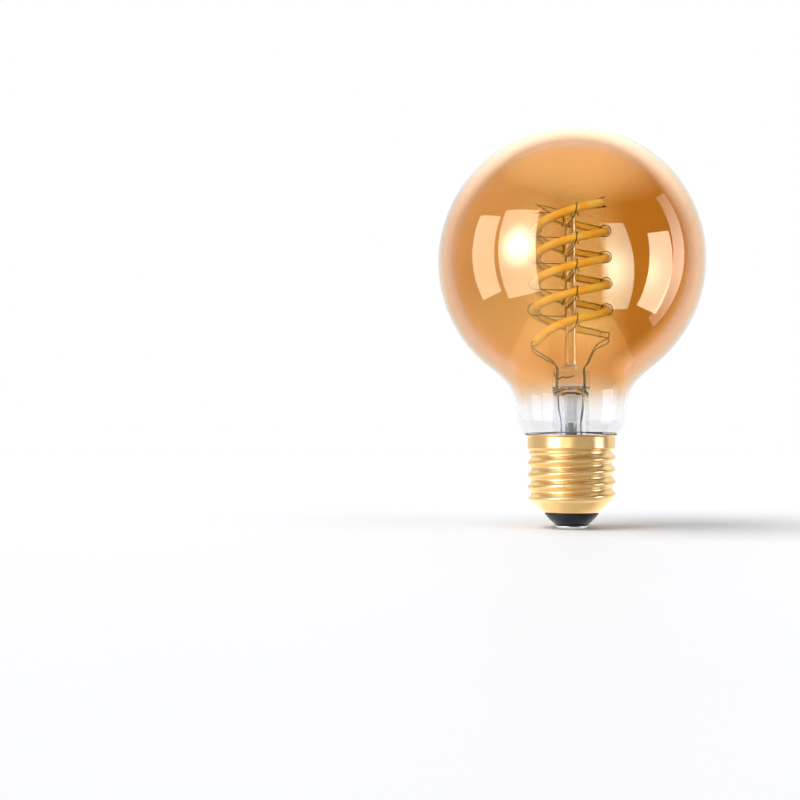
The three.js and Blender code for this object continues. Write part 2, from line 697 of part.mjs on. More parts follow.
/** A lead from a strip's lower terminal, down through the press and the flare to the driver board. */
function leadWire(strip, row) {
  const [x, y] = leadPlace(strip, row);
  const { tip, along } = terminalPoints(strip, -1, row);
  const start = tip.clone().addScaledVector(along, -LEAD_RADIUS);
  const bend = new THREE.Vector3(x, y, PRESS_TOP + 0.9);
  const elbow = start.clone().lerp(bend, 0.3).add(new THREE.Vector3(0, 0, -0.9));
  const upper = [start, elbow, bend, new THREE.Vector3(x, y, PRESS_TOP - 0.6)];
  const lower = [FLARE_TOP, BOARD_TOP + JOINT_GAP].map((h) => new THREE.Vector3(x, y, h));
  return wire([...smoothPath(upper, 10), ...lower], LEAD_RADIUS);
}

for (const strip of STRIPS) {
  for (const [rowName, row] of ROWS) {
    add(`lead_wire_${strip.name}_${rowName}`, leadWire(strip, row), nickelWire);
  }
}

/** A wire over the rod's top that joins the two strips' upper terminals in one row. */
function bridgeWire(row) {
  const [from, to] = STRIPS.map((strip) => {
    const { tip, along } = terminalPoints(strip, 1, row);
    return tip.clone().addScaledVector(along, HOOK_WIRE_RADIUS);
  });
  const middle = new THREE.Vector3(0, row * 1.2, ROD_TOP + BRIDGE_CLEARANCE);
  const near = from.clone().lerp(middle, 0.5);
  const far = to.clone().lerp(middle, 0.5);
  return wire(smoothPath([from, near, middle, far, to], 12), HOOK_WIRE_RADIUS);
}

ROWS.forEach(([rowName, row]) => add(`bridge_wire_${rowName}`, bridgeWire(row), nickelWire));

// ---- Driver, in the cap ----

/** The board, whose lower corners are cut off to follow the cap's cone. */
function driverBoard() {
  const half = BOARD_HALF_WIDTH;
  const foot = half - BOARD_CORNER_CUT;
  const shape = new THREE.Shape([
    new THREE.Vector2(-foot, BOARD_BASE),
    new THREE.Vector2(foot, BOARD_BASE),
    new THREE.Vector2(half, BOARD_BASE + 2 * BOARD_CORNER_CUT),
    new THREE.Vector2(half, BOARD_TOP),
    new THREE.Vector2(-half, BOARD_TOP),
    new THREE.Vector2(-half, BOARD_BASE + 2 * BOARD_CORNER_CUT),
  ]);
  const plate = new THREE.ExtrudeGeometry(shape, { depth: BOARD_THICKNESS, bevelEnabled: false });
  return plate.translate(0, 0, -BOARD_THICKNESS / 2).rotateX(Math.PI / 2);
}

const partsBase = BOARD_BASE + 1.6;
const resistorBase = partsBase + 1.2;
const capacitorY = -(BOARD_FACE + CAPACITOR_RADIUS);
const inductorY = -(BOARD_FACE + INDUCTOR_RADIUS);
const resistorY = -(BOARD_FACE + RESISTOR_RADIUS);
const sideX = RESISTOR_RADIUS + 0.4; // where the parts beside the resistor start

const inductorTop = partsBase + INDUCTOR_HEIGHT;
const inductorX = -(sideX + INDUCTOR_RADIUS);

/** A drum core with a waist for its winding, and a flange at each end. */
function inductorCore() {
  const [base, top] = [partsBase, inductorTop];
  const flange = INDUCTOR_FLANGE;
  const waist = INDUCTOR_RADIUS * 0.5;
  const profile = [
    [0, base],
    [INDUCTOR_RADIUS, base],
    [INDUCTOR_RADIUS, base + flange],
    [waist, base + flange],
    [waist, top - flange],
    [INDUCTOR_RADIUS, top - flange],
    [INDUCTOR_RADIUS, top],
    [0, top],
  ];
  return lathe(profile, SMALL_SEGMENTS).translate(inductorX, inductorY, 0);
}

function inductorWinding() {
  const gap = INDUCTOR_FLANGE + FIT_GAP;
  const inner = INDUCTOR_RADIUS * 0.5 + FIT_GAP;
  const ring = ringProfile(inner, INDUCTOR_RADIUS - 0.3, partsBase + gap, inductorTop - gap);
  return lathe(ring, SMALL_SEGMENTS).translate(inductorX, inductorY, 0);
}

function bulkCapacitor() {
  const [base, top] = [partsBase, partsBase + CAPACITOR_HEIGHT];
  const profile = [
    [0, base],
    [CAPACITOR_RADIUS, base],
    [CAPACITOR_RADIUS, base + 0.8],
    [CAPACITOR_RADIUS - 0.25, base + 1.1],
    [CAPACITOR_RADIUS, base + 1.4],
    [CAPACITOR_RADIUS, top - 0.3],
    [CAPACITOR_RADIUS - 0.3, top],
    [0, top],
  ];
  return lathe(profile, SMALL_SEGMENTS).translate(sideX + CAPACITOR_RADIUS, capacitorY, 0);
}

/** A box-shaped package on the board's back, centred at x and standing on z. */
function backPackage(x, z, width, height, depth) {
  return block([x - width / 2, BOARD_FACE, z], [x + width / 2, BOARD_FACE + depth, z + height]);
}

function fusibleResistor() {
  return cylinder(RESISTOR_RADIUS, resistorBase, resistorBase + RESISTOR_LENGTH).translate(0, resistorY, 0);
}

function antennaStrip() {
  const y = (EXHAUST_RADIUS + STEM_TUBE_RADIUS - STEM_WALL) / 2;
  const base = BOARD_TOP + FIT_GAP;
  return block(
    [-ANTENNA_WIDTH / 2, y - ANTENNA_THICKNESS / 2, base],
    [ANTENNA_WIDTH / 2, y + ANTENNA_THICKNESS / 2, base + ANTENNA_LENGTH],
  );
}

function liveWire() {
  const pinTop = CONTACT_THICKNESS + PIN_LENGTH;
  return wire([
    new THREE.Vector3(0, resistorY, resistorBase - JOINT_GAP),
    new THREE.Vector3(0, resistorY, partsBase + 0.4),
    new THREE.Vector3(0, resistorY + 0.4, pinTop + 0.5),
    new THREE.Vector3(0, -PIN_RADIUS - LEAD_RADIUS - JOINT_GAP, pinTop),
  ], LEAD_RADIUS);
}

/** From the board's left edge over the liner to the shell. */
function neutralWire() {
  const edge = BOARD_HALF_WIDTH + JOINT_GAP + LEAD_RADIUS;
  const over = BOARD_TOP - 0.5;
  const shell = plainShellRadius(over) + threadRise(over, 0.5) - SHELL_WALL - JOINT_GAP;
  return wire([
    new THREE.Vector3(-edge, 0, BOARD_TOP - 3),
    new THREE.Vector3(-edge, 0, BOARD_TOP - 1.4),
    new THREE.Vector3(-(shell - 0.6), 0, over),
    new THREE.Vector3(-shell, 0, over),
  ], LEAD_RADIUS);
}

const linerTop = BOARD_TOP - 1.2;
const linerProfile = ringProfile(LINER_RADIUS - LINER_WALL, LINER_RADIUS, CONE_TOP + 0.4, linerTop);
add("insulating_liner", lathe(linerProfile), linerPlastic);
add("driver_board", driverBoard(), circuitBoard);
add("bulk_capacitor", bulkCapacitor(), canMetal);
add("inductor_core", inductorCore(), ferrite);
add("inductor_winding", inductorWinding(), copperWire);
add("fusible_resistor", fusibleResistor(), resistorBody);
add("radio_module", backPackage(0, partsBase, 8, 7.6, 2.2), canMetal);
add("radio_antenna", antennaStrip(), circuitBoard);
add("bridge_rectifier", backPackage(6.6, partsBase + 1, 3.6, 4.6, 2.2), packageBlack);
add("warm_channel_switch", backPackage(-6.6, partsBase + 1, 2.8, 1.6, 1.1), packageBlack);
add("cool_channel_switch", backPackage(-6.6, partsBase + 4, 2.8, 1.6, 1.1), packageBlack);
add("live_wire", liveWire(), wireSleeve);
add("neutral_wire", neutralWire(), linerPlastic);

export default bulb;
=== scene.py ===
"""Looks of a filament light bulb: an amber globe on a gold screw cap, with two spiral light strips inside.

Metres, +Z up the lamp axis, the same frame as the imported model. Sizes in the classes are millimetres.
"""

import logging
import math
from collections.abc import Callable, Sequence
from dataclasses import dataclass
from enum import Enum

import bpy
import numpy as np
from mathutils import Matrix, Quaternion, Vector


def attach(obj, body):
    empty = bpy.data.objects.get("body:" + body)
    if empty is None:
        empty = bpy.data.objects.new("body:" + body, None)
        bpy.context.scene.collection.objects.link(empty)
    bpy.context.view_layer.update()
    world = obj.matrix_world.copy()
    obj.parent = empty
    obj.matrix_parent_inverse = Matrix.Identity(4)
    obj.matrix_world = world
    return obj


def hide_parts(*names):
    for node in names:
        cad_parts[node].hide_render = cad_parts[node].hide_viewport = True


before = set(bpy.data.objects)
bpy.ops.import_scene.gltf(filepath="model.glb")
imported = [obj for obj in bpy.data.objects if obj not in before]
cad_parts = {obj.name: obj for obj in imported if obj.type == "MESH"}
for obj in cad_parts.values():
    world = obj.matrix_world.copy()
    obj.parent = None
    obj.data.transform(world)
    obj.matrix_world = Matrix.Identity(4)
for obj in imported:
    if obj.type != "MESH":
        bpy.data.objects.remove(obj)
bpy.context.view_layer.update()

MM = 0.001
ROUND = 160  # sides of a large round piece
WAVER = 1.5  # how uneven the lower edge of the amber is, in millimetres
log = logging.getLogger("bulb")

Point = tuple[float, float, float]
Colour = tuple[float, float, float]
Line = list[tuple[float, float]]
MeshData = tuple[np.ndarray, list[tuple[int, ...]]]
Piece = bpy.types.Object
Socket = bpy.types.NodeSocket


# ---- Mesh making ----


def make_piece(
    name: str, vertices: np.ndarray, faces: Sequence[Sequence[int]], finish: bpy.types.Material
) -> Piece:
    """Makes a smooth-shaded mesh object.

    Args:
        name: The piece's name.
        vertices: Its points, in millimetres.
        faces: Lists of vertex numbers.
        finish: Its material.

    Returns:
        The linked object, at the origin.
    """
    mesh = bpy.data.meshes.new(name)
    mesh.from_pydata((np.asarray(vertices, float) * MM).tolist(), [], [list(f) for f in faces])
    mesh.validate()
    mesh.materials.append(finish)
    mesh.shade_smooth()
    piece = bpy.data.objects.new(name, mesh)
    bpy.context.scene.collection.objects.link(piece)
    return piece


def skin_rings(
    rings: Sequence[np.ndarray], start_pole: Point | None, end_pole: Point | None, joined: bool = False
) -> MeshData:
    """Joins rings of equal length into faces, which point outwards when anticlockwise rings climb +Z.

    Args:
        rings: Arrays of points, one row for each.
        start_pole: A point that closes the first ring, if any.
        end_pole: A point that closes the last ring, if any.
        joined: True to join the last ring to the first, for a body with a hole through it.

    Returns:
        The vertices and the faces.
    """
    count = len(rings[0])
    vertices = np.concatenate(rings)
    faces: list[tuple[int, ...]] = []
    spans = len(rings) if joined else len(rings) - 1
    for i in range(spans):
        here, ahead = i * count, ((i + 1) % len(rings)) * count
        for k in range(count):
            n = (k + 1) % count
            faces.append((here + k, here + n, ahead + n, ahead + k))
    for pole, first, flip in ((start_pole, 0, True), (end_pole, (len(rings) - 1) * count, False)):
        if pole is None:
            continue
        centre = len(vertices)
        vertices = np.vstack([vertices, [pole]])
        for k in range(count):
            n = (k + 1) % count
            faces.append((centre, first + n, first + k) if flip else (centre, first + k, first + n))
    return vertices, faces


def circle_ring(radius: float, height: float, sides: int = ROUND) -> np.ndarray:
    """Points of a level circle round the axis, anticlockwise."""
    angle = np.arange(sides) * 2 * math.pi / sides
    return np.stack([radius * np.cos(angle), radius * np.sin(angle), np.full(sides, height)], 1)


def spin(profile: Sequence[tuple[float, float]], sides: int = ROUND, joined: bool = False) -> MeshData:
    """Spins a line of (radius, height) points round the axis.

    Args:
        profile: The line. For a solid body it goes from the axis below, round the outside, to the axis above.
        sides: Number of sides.
        joined: True for a closed loop clear of the axis, followed anticlockwise with the axis on the left.

    Returns:
        The vertices and the faces.
    """
    inner = list(profile)
    start = end = None
    if not joined and inner[0][0] < 1e-6:
        start = (0.0, 0.0, inner.pop(0)[1])
    if not joined and inner[-1][0] < 1e-6:
        end = (0.0, 0.0, inner.pop()[1])
    return skin_rings([circle_ring(r, z, sides) for r, z in inner], start, end, joined)


def bezier(corners: Sequence[tuple[float, float]], steps: int) -> Line:
    """Points along a cubic bend.

    Args:
        corners: Its four corner points.
        steps: Number of spans.

    Returns:
        The points, both ends among them.
    """
    p = np.array(corners, float)
    t = np.linspace(0, 1, steps + 1)[:, None]
    line = (1 - t) ** 3 * p[0] + 3 * (1 - t) ** 2 * t * p[1] + 3 * (1 - t) * t**2 * p[2] + t**3 * p[3]
    return [tuple(row) for row in line]


def offset_line(line: Sequence[tuple[float, float]], wall: float) -> Line:
    """Moves a profile to its left, square to itself.

    Args:
        line: The profile.
        wall: How far, which is a wall's thickness.

    Returns:
        The moved profile.
    """
    p = np.array(line, float)
    d = np.gradient(p, axis=0)
    d /= np.linalg.norm(d, axis=1)[:, None]
    return [tuple(row) for row in p + np.stack([-d[:, 1], d[:, 0]], 1) * wall]


def smooth_path(points: Sequence[Point], steps: int) -> np.ndarray:
    """A smooth centripetal curve through points.

    Args:
        points: The points that it passes through.
        steps: How many spans between each two of them.

    Returns:
        The curve's points.
    """
    p = np.array(points, float)
    p = np.vstack([2 * p[0] - p[1], p, 2 * p[-1] - p[-2]])
    out: list[np.ndarray] = []
    for i in range(len(p) - 3):
        a, b, c, d = p[i : i + 4]
        t = [0.0]
        for u, v in ((a, b), (b, c), (c, d)):
            t.append(t[-1] + max(np.linalg.norm(v - u) ** 0.5, 1e-6))
        for s in np.linspace(t[1], t[2], steps, endpoint=False):
            ab = a + (b - a) * (s - t[0]) / (t[1] - t[0])
            bc = b + (c - b) * (s - t[1]) / (t[2] - t[1])
            cd = c + (d - c) * (s - t[2]) / (t[3] - t[2])
            abc = ab + (bc - ab) * (s - t[0]) / (t[2] - t[0])
            bcd = bc + (cd - bc) * (s - t[1]) / (t[3] - t[1])
            out.append(abc + (bcd - abc) * (s - t[1]) / (t[2] - t[1]))
    out.append(p[-2])
    return np.array(out)


def tube(path: np.ndarray, radius: float | np.ndarray, sides: int = 10) -> MeshData:
    """A round wire along a path, with rounded ends.

    Args:
        path: Its centre line.
        radius: Its radius, or one for each point.
        sides: Number of sides.

    Returns:
        The vertices and the faces.
    """
    path = np.asarray(path, float)
    along = np.gradient(path, axis=0)
    along /= np.linalg.norm(along, axis=1)[:, None]
    radii = np.broadcast_to(np.asarray(radius, float), len(path))
    any_other_way = [0.31, 0.67, 0.67]
    normal = np.cross(along[0], any_other_way)
    rings: list[np.ndarray] = []
    angle = np.arange(sides) * 2 * math.pi / sides
    for p, a, r in zip(path, along, radii):
        normal = normal - a * np.dot(normal, a)
        normal /= np.linalg.norm(normal)
        side = np.cross(a, normal)
        rings.append(p + r * (np.outer(np.cos(angle), normal) + np.outer(np.sin(angle), side)))
    tips = [path[0] - along[0] * radii[0] * 0.5, path[-1] + along[-1] * radii[-1] * 0.5]
    return skin_rings(rings, tuple(tips[0]), tuple(tips[1]))


def smoothstep(x: np.ndarray | float, low: float, high: float) -> np.ndarray:
    """0 below low, 1 above high and smooth between."""
    t = np.clip((np.asarray(x, float) - low) / (high - low), 0, 1)
    return t * t * (3 - 2 * t)


# ---- Shader node groups that several finishes share ----


class Shade:
    """Adds and links nodes in one shader or geometry tree."""

    def __init__(self, tree: bpy.types.NodeTree) -> None:
        """Keeps the tree."""
        self.tree = tree

    def add(self, kind: str, settings: dict[str, object] | None = None, **inputs: object) -> bpy.types.Node:
        """Adds a node.

        Args:
            kind: Its type name.
            settings: Its properties.
            **inputs: Values or sockets for its inputs. "in0" is the first input. Others go by name.

        Returns:
            The node.
        """
        node = self.tree.nodes.new(kind)
        for key, value in (settings or {}).items():
            setattr(node, key, value)
        for key, value in inputs.items():
            number = key[2:]
            numbered = key[:2] == "in" and number.isdigit()
            socket = node.inputs[int(number)] if numbered else node.inputs[key.replace("_", " ")]
            if isinstance(value, Socket):
                self.link(value, socket)
            else:
                socket.default_value = value
        return node

    def link(self, start: Socket, end: Socket) -> None:
        """Links an output to an input."""
        self.tree.links.new(start, end)

    def math(self, operation: str, *values: float | Socket) -> Socket:
        """A Math node's result."""
        inputs = {f"in{i}": v for i, v in enumerate(values)}
        return self.add("ShaderNodeMath", {"operation": operation}, **inputs).outputs[0]

    def product(self, first: float | Socket, *others: float | Socket) -> Socket:
        """Several values multiplied together."""
        for other in others:
            first = self.math("MULTIPLY", first, other)
        return first

    def step(self, value: Socket, low: float, high: float) -> Socket:
        """A smooth step between two levels.

        Args:
            value: What is compared with the levels.
            low: Where the step starts.
            high: Where it is full. The step goes down if this is below low.

        Returns:
            A value from 0 to 1.
        """
        step = self.add("ShaderNodeMapRange", {"interpolation_type": "SMOOTHSTEP"}, in0=value)
        step.inputs[1].default_value, step.inputs[2].default_value = min(low, high), max(low, high)
        if low > high:
            step.inputs[3].default_value, step.inputs[4].default_value = 1.0, 0.0
        return step.outputs[0]


Fill = Callable[[Shade, bpy.types.Node], Socket]


class SharedEffects:
    """The effects that more than one finish uses, each built once as a shader node group."""

    def __init__(self) -> None:
        """Builds every group."""
        self.mottle = self._group("Mottle", ("Scale", "Detail", "Low", "High"), self._mottle)
        self.height_fade = self._group("HeightFade", ("Start", "End", "Waver"), self._height_fade)
        self.turned_lines = self._group("TurnedLines", ("Scale", "Unevenness"), self._turned_lines)

    @staticmethod
    def _group(name: str, inputs: Sequence[str], fill: Fill) -> bpy.types.NodeTree:
        """Makes a group with number inputs and one output called Value.

        Args:
            name: The group's name.
            inputs: Names of its inputs.
            fill: Adds its nodes to a Shade, from its input node, and returns the value's socket.

        Returns:
            The group.
        """
        tree = bpy.data.node_groups.new(name, "ShaderNodeTree")
        for label in inputs:
            tree.interface.new_socket(label, in_out="INPUT", socket_type="NodeSocketFloat")
        tree.interface.new_socket("Value", in_out="OUTPUT", socket_type="NodeSocketFloat")
        shade = Shade(tree)
        entry = shade.add("NodeGroupInput")
        value = fill(shade, entry)
        shade.add("NodeGroupOutput", in0=value)
        return tree

    @staticmethod
    def _mottle(shade: Shade, entry: bpy.types.Node) -> Socket:
        """Soft patches between a low and a high value.

        Args:
            shade: Adds to the group's tree.
            entry: The group's input node.

        Returns:
            The group's value.
        """
        place = shade.add("ShaderNodeTexCoord").outputs["Object"]
        noise = shade.add("ShaderNodeTexNoise", Vector=place, Scale=entry.outputs[0], Detail=entry.outputs[1])
        ramp = shade.add("ShaderNodeMapRange", in0=noise.outputs[0], in1=0.3, in2=0.7)
        shade.link(entry.outputs[2], ramp.inputs[3])
        shade.link(entry.outputs[3], ramp.inputs[4])
        return ramp.outputs[0]

    @staticmethod
    def _height_fade(shade: Shade, entry: bpy.types.Node) -> Socket:
        """A mask that goes from 0 to 1 with height, along a slightly uneven line.

        Args:
            shade: Adds to the group's tree.
            entry: The group's input node.

        Returns:
            The group's value.
        """
        place = shade.add("ShaderNodeTexCoord").outputs["Object"]
        height = shade.add("ShaderNodeSeparateXYZ", in0=place).outputs[2]
        noise = shade.add("ShaderNodeTexNoise", Vector=place, Scale=38.0, Detail=1.0).outputs[0]
        waver = shade.math("MULTIPLY", shade.math("SUBTRACT", noise, 0.5), entry.outputs[2])
        ramp = shade.add(
            "ShaderNodeMapRange", {"interpolation_type": "SMOOTHSTEP"}, in0=shade.math("ADD", height, waver)
        )
        shade.link(entry.outputs[0], ramp.inputs[1])
        shade.link(entry.outputs[1], ramp.inputs[2])
        return ramp.outputs[0]

    @staticmethod
    def _turned_lines(shade: Shade, entry: bpy.types.Node) -> Socket:
        """Fine rings round the axis, as a lathe or a press tool leaves.

        Args:
            shade: Adds to the group's tree.
            entry: The group's input node.

        Returns:
            The group's value.
        """
        place = shade.add("ShaderNodeTexCoord").outputs["Object"]
        squash = shade.add("ShaderNodeMapping", in0=place)
        squash.inputs["Scale"].default_value = (0.03, 0.03, 1.0)
        flat = squash.outputs[0]
        lines = shade.add("ShaderNodeTexNoise", Vector=flat, Scale=entry.outputs[0], Detail=3.0).outputs[0]
        patches = shade.add("ShaderNodeTexNoise", Vector=place, Scale=220.0, Detail=2.0).outputs[0]
        return shade.math("MULTIPLY_ADD", patches, entry.outputs[1], lines)


EFFECTS = SharedEffects()


# ---- Finishes ----


def blank_material(name: str) -> tuple[bpy.types.Material, Shade, bpy.types.Node]:
    """A new material with a Principled node on its output.

    Args:
        name: The material's name.

    Returns:
        The material, its tree's Shade and the Principled node.
    """
    material = bpy.data.materials.new(name)
    material.use_nodes = True
    shade = Shade(material.node_tree)
    return material, shade, material.node_tree.nodes["Principled BSDF"]


def effect(shade: Shade, group: bpy.types.NodeTree, **inputs: float) -> Socket:
    """Places a shared group in a material.

    Args:
        shade: Adds to the material's tree.
        group: The shared group.
        **inputs: Values for its inputs, by name.

    Returns:
        Its value's socket.
    """
    node = shade.add("ShaderNodeGroup", {"node_tree": group})
    for key, value in inputs.items():
        node.inputs[key].default_value = value
    return node.outputs[0]


def mix_colours(shade: Shade, mask: Socket, first: Colour, second: Colour) -> Socket:
    """Mixes two colours.

    Args:
        shade: Adds to the material's tree.
        mask: 0 for the first colour, 1 for the second.
        first: One colour.
        second: The other.

    Returns:
        The colour between them.
    """
    node = shade.add("ShaderNodeMix", {"data_type": "RGBA"}, in0=mask)
    node.inputs[6].default_value = (*first, 1)
    node.inputs[7].default_value = (*second, 1)
    return node.outputs[2]


@dataclass(frozen=True)
class Glass:
    """Blown glass that lets lamps through, with a tint that may fade with height and painted shade at its
    edges.
    """

    name: str
    tint: Colour
    clear: Colour = (0.935, 0.935, 0.94)
    # Painted shade: the tint is darkened towards this colour at grazing angles, standing for the dark
    # surroundings that real glass edges refract.
    edge: Colour = (0.7, 0.7, 0.72)
    painted_shade_from: float = 0.8
    painted_shade_full: float = 1.0
    inside_light: Colour = (0.88, 0.875, 0.87)
    fade: tuple[float, float] | None = None
    ior: float = 1.45
    ripple: float = 0.02
    coat: float = 0.0
    coat_roughness: float = 0.24

    def build(self) -> bpy.types.Material:
        """Builds the material.

        Returns:
            The material.
        """
        material, shade, glass = blank_material(self.name)
        glass.inputs["Transmission Weight"].default_value = 1.0
        glass.inputs["IOR"].default_value = self.ior
        if self.fade:
            start, end = self.fade
            mask = effect(shade, EFFECTS.height_fade, Start=start * MM, End=end * MM, Waver=WAVER * MM)
            tint = mix_colours(shade, mask, self.clear, self.tint)
        else:
            mask = effect(shade, EFFECTS.mottle, Scale=60.0, Detail=1.0, Low=0.0, High=1.0)
            tint = mix_colours(shade, mask, self.tint, self.clear)
        # Painted shade: the tint darkens towards the edge colour where the glass is seen at a grazing angle.
        slant = shade.add("ShaderNodeLayerWeight", in0=0.5).outputs["Facing"]
        painted_edge_shade = shade.step(slant, self.painted_shade_from, self.painted_shade_full)
        tint_with_painted_shade = shade.add("ShaderNodeMix", {"data_type": "RGBA", "blend_type": "MULTIPLY"}, in0=painted_edge_shade)
        shade.link(tint, tint_with_painted_shade.inputs[6])
        tint_with_painted_shade.inputs[7].default_value = (*self.edge, 1)
        shade.link(tint_with_painted_shade.outputs[2], glass.inputs["Base Color"])
        glass.inputs["Roughness"].default_value = 0.0
        glass.inputs["Coat Weight"].default_value = self.coat
        glass.inputs["Coat Roughness"].default_value = self.coat_roughness
        waves = effect(shade, EFFECTS.mottle, Scale=28.0, Detail=0.0, Low=0.0, High=1.0)
        bump = shade.add("ShaderNodeBump", Strength=self.ripple, Distance=2 * MM, Height=waves)
        shade.link(bump.outputs[0], glass.inputs["Normal"])
        through = shade.add("ShaderNodeBsdfTransparent", in0=(*self.inside_light, 1))
        ways = shade.add("ShaderNodeLightPath").outputs
        seen = glass
        for way in ("Is Shadow Ray", "Is Diffuse Ray"):
            shaders = {"in1": seen.outputs[0], "in2": through.outputs[0]}
            seen = shade.add("ShaderNodeMixShader", in0=ways[way], **shaders)
        shade.link(seen.outputs[0], shade.tree.nodes["Material Output"].inputs[0])
        return material


@dataclass(frozen=True)
class Coating:
    """A vacuum-thin gold film that mirrors a little and fades out with height."""

    name: str
    colour: Colour
    strength: float
    rim: float
    fade: tuple[float, float]
    rim_from: float = 0.84
    at_grazing: Colour = (0.82, 0.9, 1.0)

    def build(self) -> bpy.types.Material:
        """Builds the material.

        Returns:
            The material.
        """
        material, shade, film = blank_material(self.name)
        film.inputs["Metallic"].default_value = 1.0
        patches = effect(shade, EFFECTS.mottle, Scale=26.0, Detail=2.0, Low=0.0, High=1.0)
        deeper = tuple(c * 0.85 for c in self.colour)
        gold = mix_colours(shade, patches, self.colour, deeper)
        slope = shade.add("ShaderNodeFresnel", in0=1.15).outputs[0]
        whiter = shade.add("ShaderNodeMix", {"data_type": "RGBA"}, in0=slope)
        shade.link(gold, whiter.inputs[6])
        whiter.inputs[7].default_value = (*self.at_grazing, 1.0)
        shade.link(whiter.outputs[2], film.inputs["Base Color"])
        film.inputs["Roughness"].default_value = 0.03
        start, end = self.fade
        mask = effect(shade, EFFECTS.height_fade, Start=start * MM, End=end * MM, Waver=WAVER * MM)
        slant = shade.add("ShaderNodeLayerWeight", in0=0.5).outputs["Facing"]
        at_rim = shade.step(slant, self.rim_from, 1.0)
        rim = shade.math("MULTIPLY_ADD", at_rim, self.rim - self.strength, self.strength)
        shade.link(shade.product(mask, rim), film.inputs["Alpha"])
        return material


class Grain(Enum):
    """What a surface's fine relief looks like."""

    TURNED = "turned"
    CAST = "cast"
    DRAWN = "drawn"


@dataclass(frozen=True)
class Metal:
    """A metal with patches, fine relief and uneven gloss."""

    name: str
    colour: Colour
    shadow: Colour
    roughness: tuple[float, float]
    grain: Grain = Grain.CAST
    relief: float = 0.15
    metallic: float = 1.0

    def build(self) -> bpy.types.Material:
        """Builds the material.

        Returns:
            The material.
        """
        material, shade, metal = blank_material(self.name)
        metal.inputs["Metallic"].default_value = self.metallic
        patches = effect(shade, EFFECTS.mottle, Scale=260.0, Detail=4.0, Low=0.0, High=1.0)
        tone = mix_colours(shade, patches, self.colour, self.shadow)
        shade.link(tone, metal.inputs["Base Color"])
        low, high = self.roughness
        gloss = effect(shade, EFFECTS.mottle, Scale=150.0, Detail=3.0, Low=low, High=high)
        shade.link(gloss, metal.inputs["Roughness"])
        if self.grain is Grain.TURNED:
            height = effect(shade, EFFECTS.turned_lines, Scale=4200.0, Unevenness=0.4)
        else:
            scale = 900.0 if self.grain is Grain.CAST else 2600.0
            height = effect(shade, EFFECTS.mottle, Scale=scale, Detail=3.0, Low=0.0, High=1.0)
        bump = shade.add("ShaderNodeBump", Strength=self.relief, Distance=0.05 * MM, Height=height)
        shade.link(bump.outputs[0], metal.inputs["Normal"])
        return material


@dataclass(frozen=True)
class Moulded:
    """A moulded, cast or printed non-metal, with patches and fine relief."""

    name: str
    colour: Colour
    shadow: Colour
    roughness: tuple[float, float]
    scale: float = 300.0
    relief: float = 0.1
    coat: float = 0.0
    glow_through: float = 0.0
    shine: float = 0.5

    def build(self) -> bpy.types.Material:
        """Builds the material.

        Returns:
            The material.
        """
        material, shade, body = blank_material(self.name)
        patches = effect(shade, EFFECTS.mottle, Scale=self.scale, Detail=3.0, Low=0.0, High=1.0)
        shade.link(mix_colours(shade, patches, self.colour, self.shadow), body.inputs["Base Color"])
        low, high = self.roughness
        gloss = effect(shade, EFFECTS.mottle, Scale=self.scale * 1.7, Detail=2.0, Low=low, High=high)
        shade.link(gloss, body.inputs["Roughness"])
        body.inputs["Coat Weight"].default_value = self.coat
        body.inputs["Coat Roughness"].default_value = 0.25
        body.inputs["Specular IOR Level"].default_value = self.shine
        body.inputs["Subsurface Weight"].default_value = self.glow_through
        body.inputs["Subsurface Scale"].default_value = 1.2 * MM
        grain = effect(shade, EFFECTS.mottle, Scale=self.scale * 6, Detail=2.0, Low=0.0, High=1.0)
        bump = shade.add("ShaderNodeBump", Strength=self.relief, Distance=0.05 * MM, Height=grain)
        shade.link(bump.outputs[0], body.inputs["Normal"])
        return material


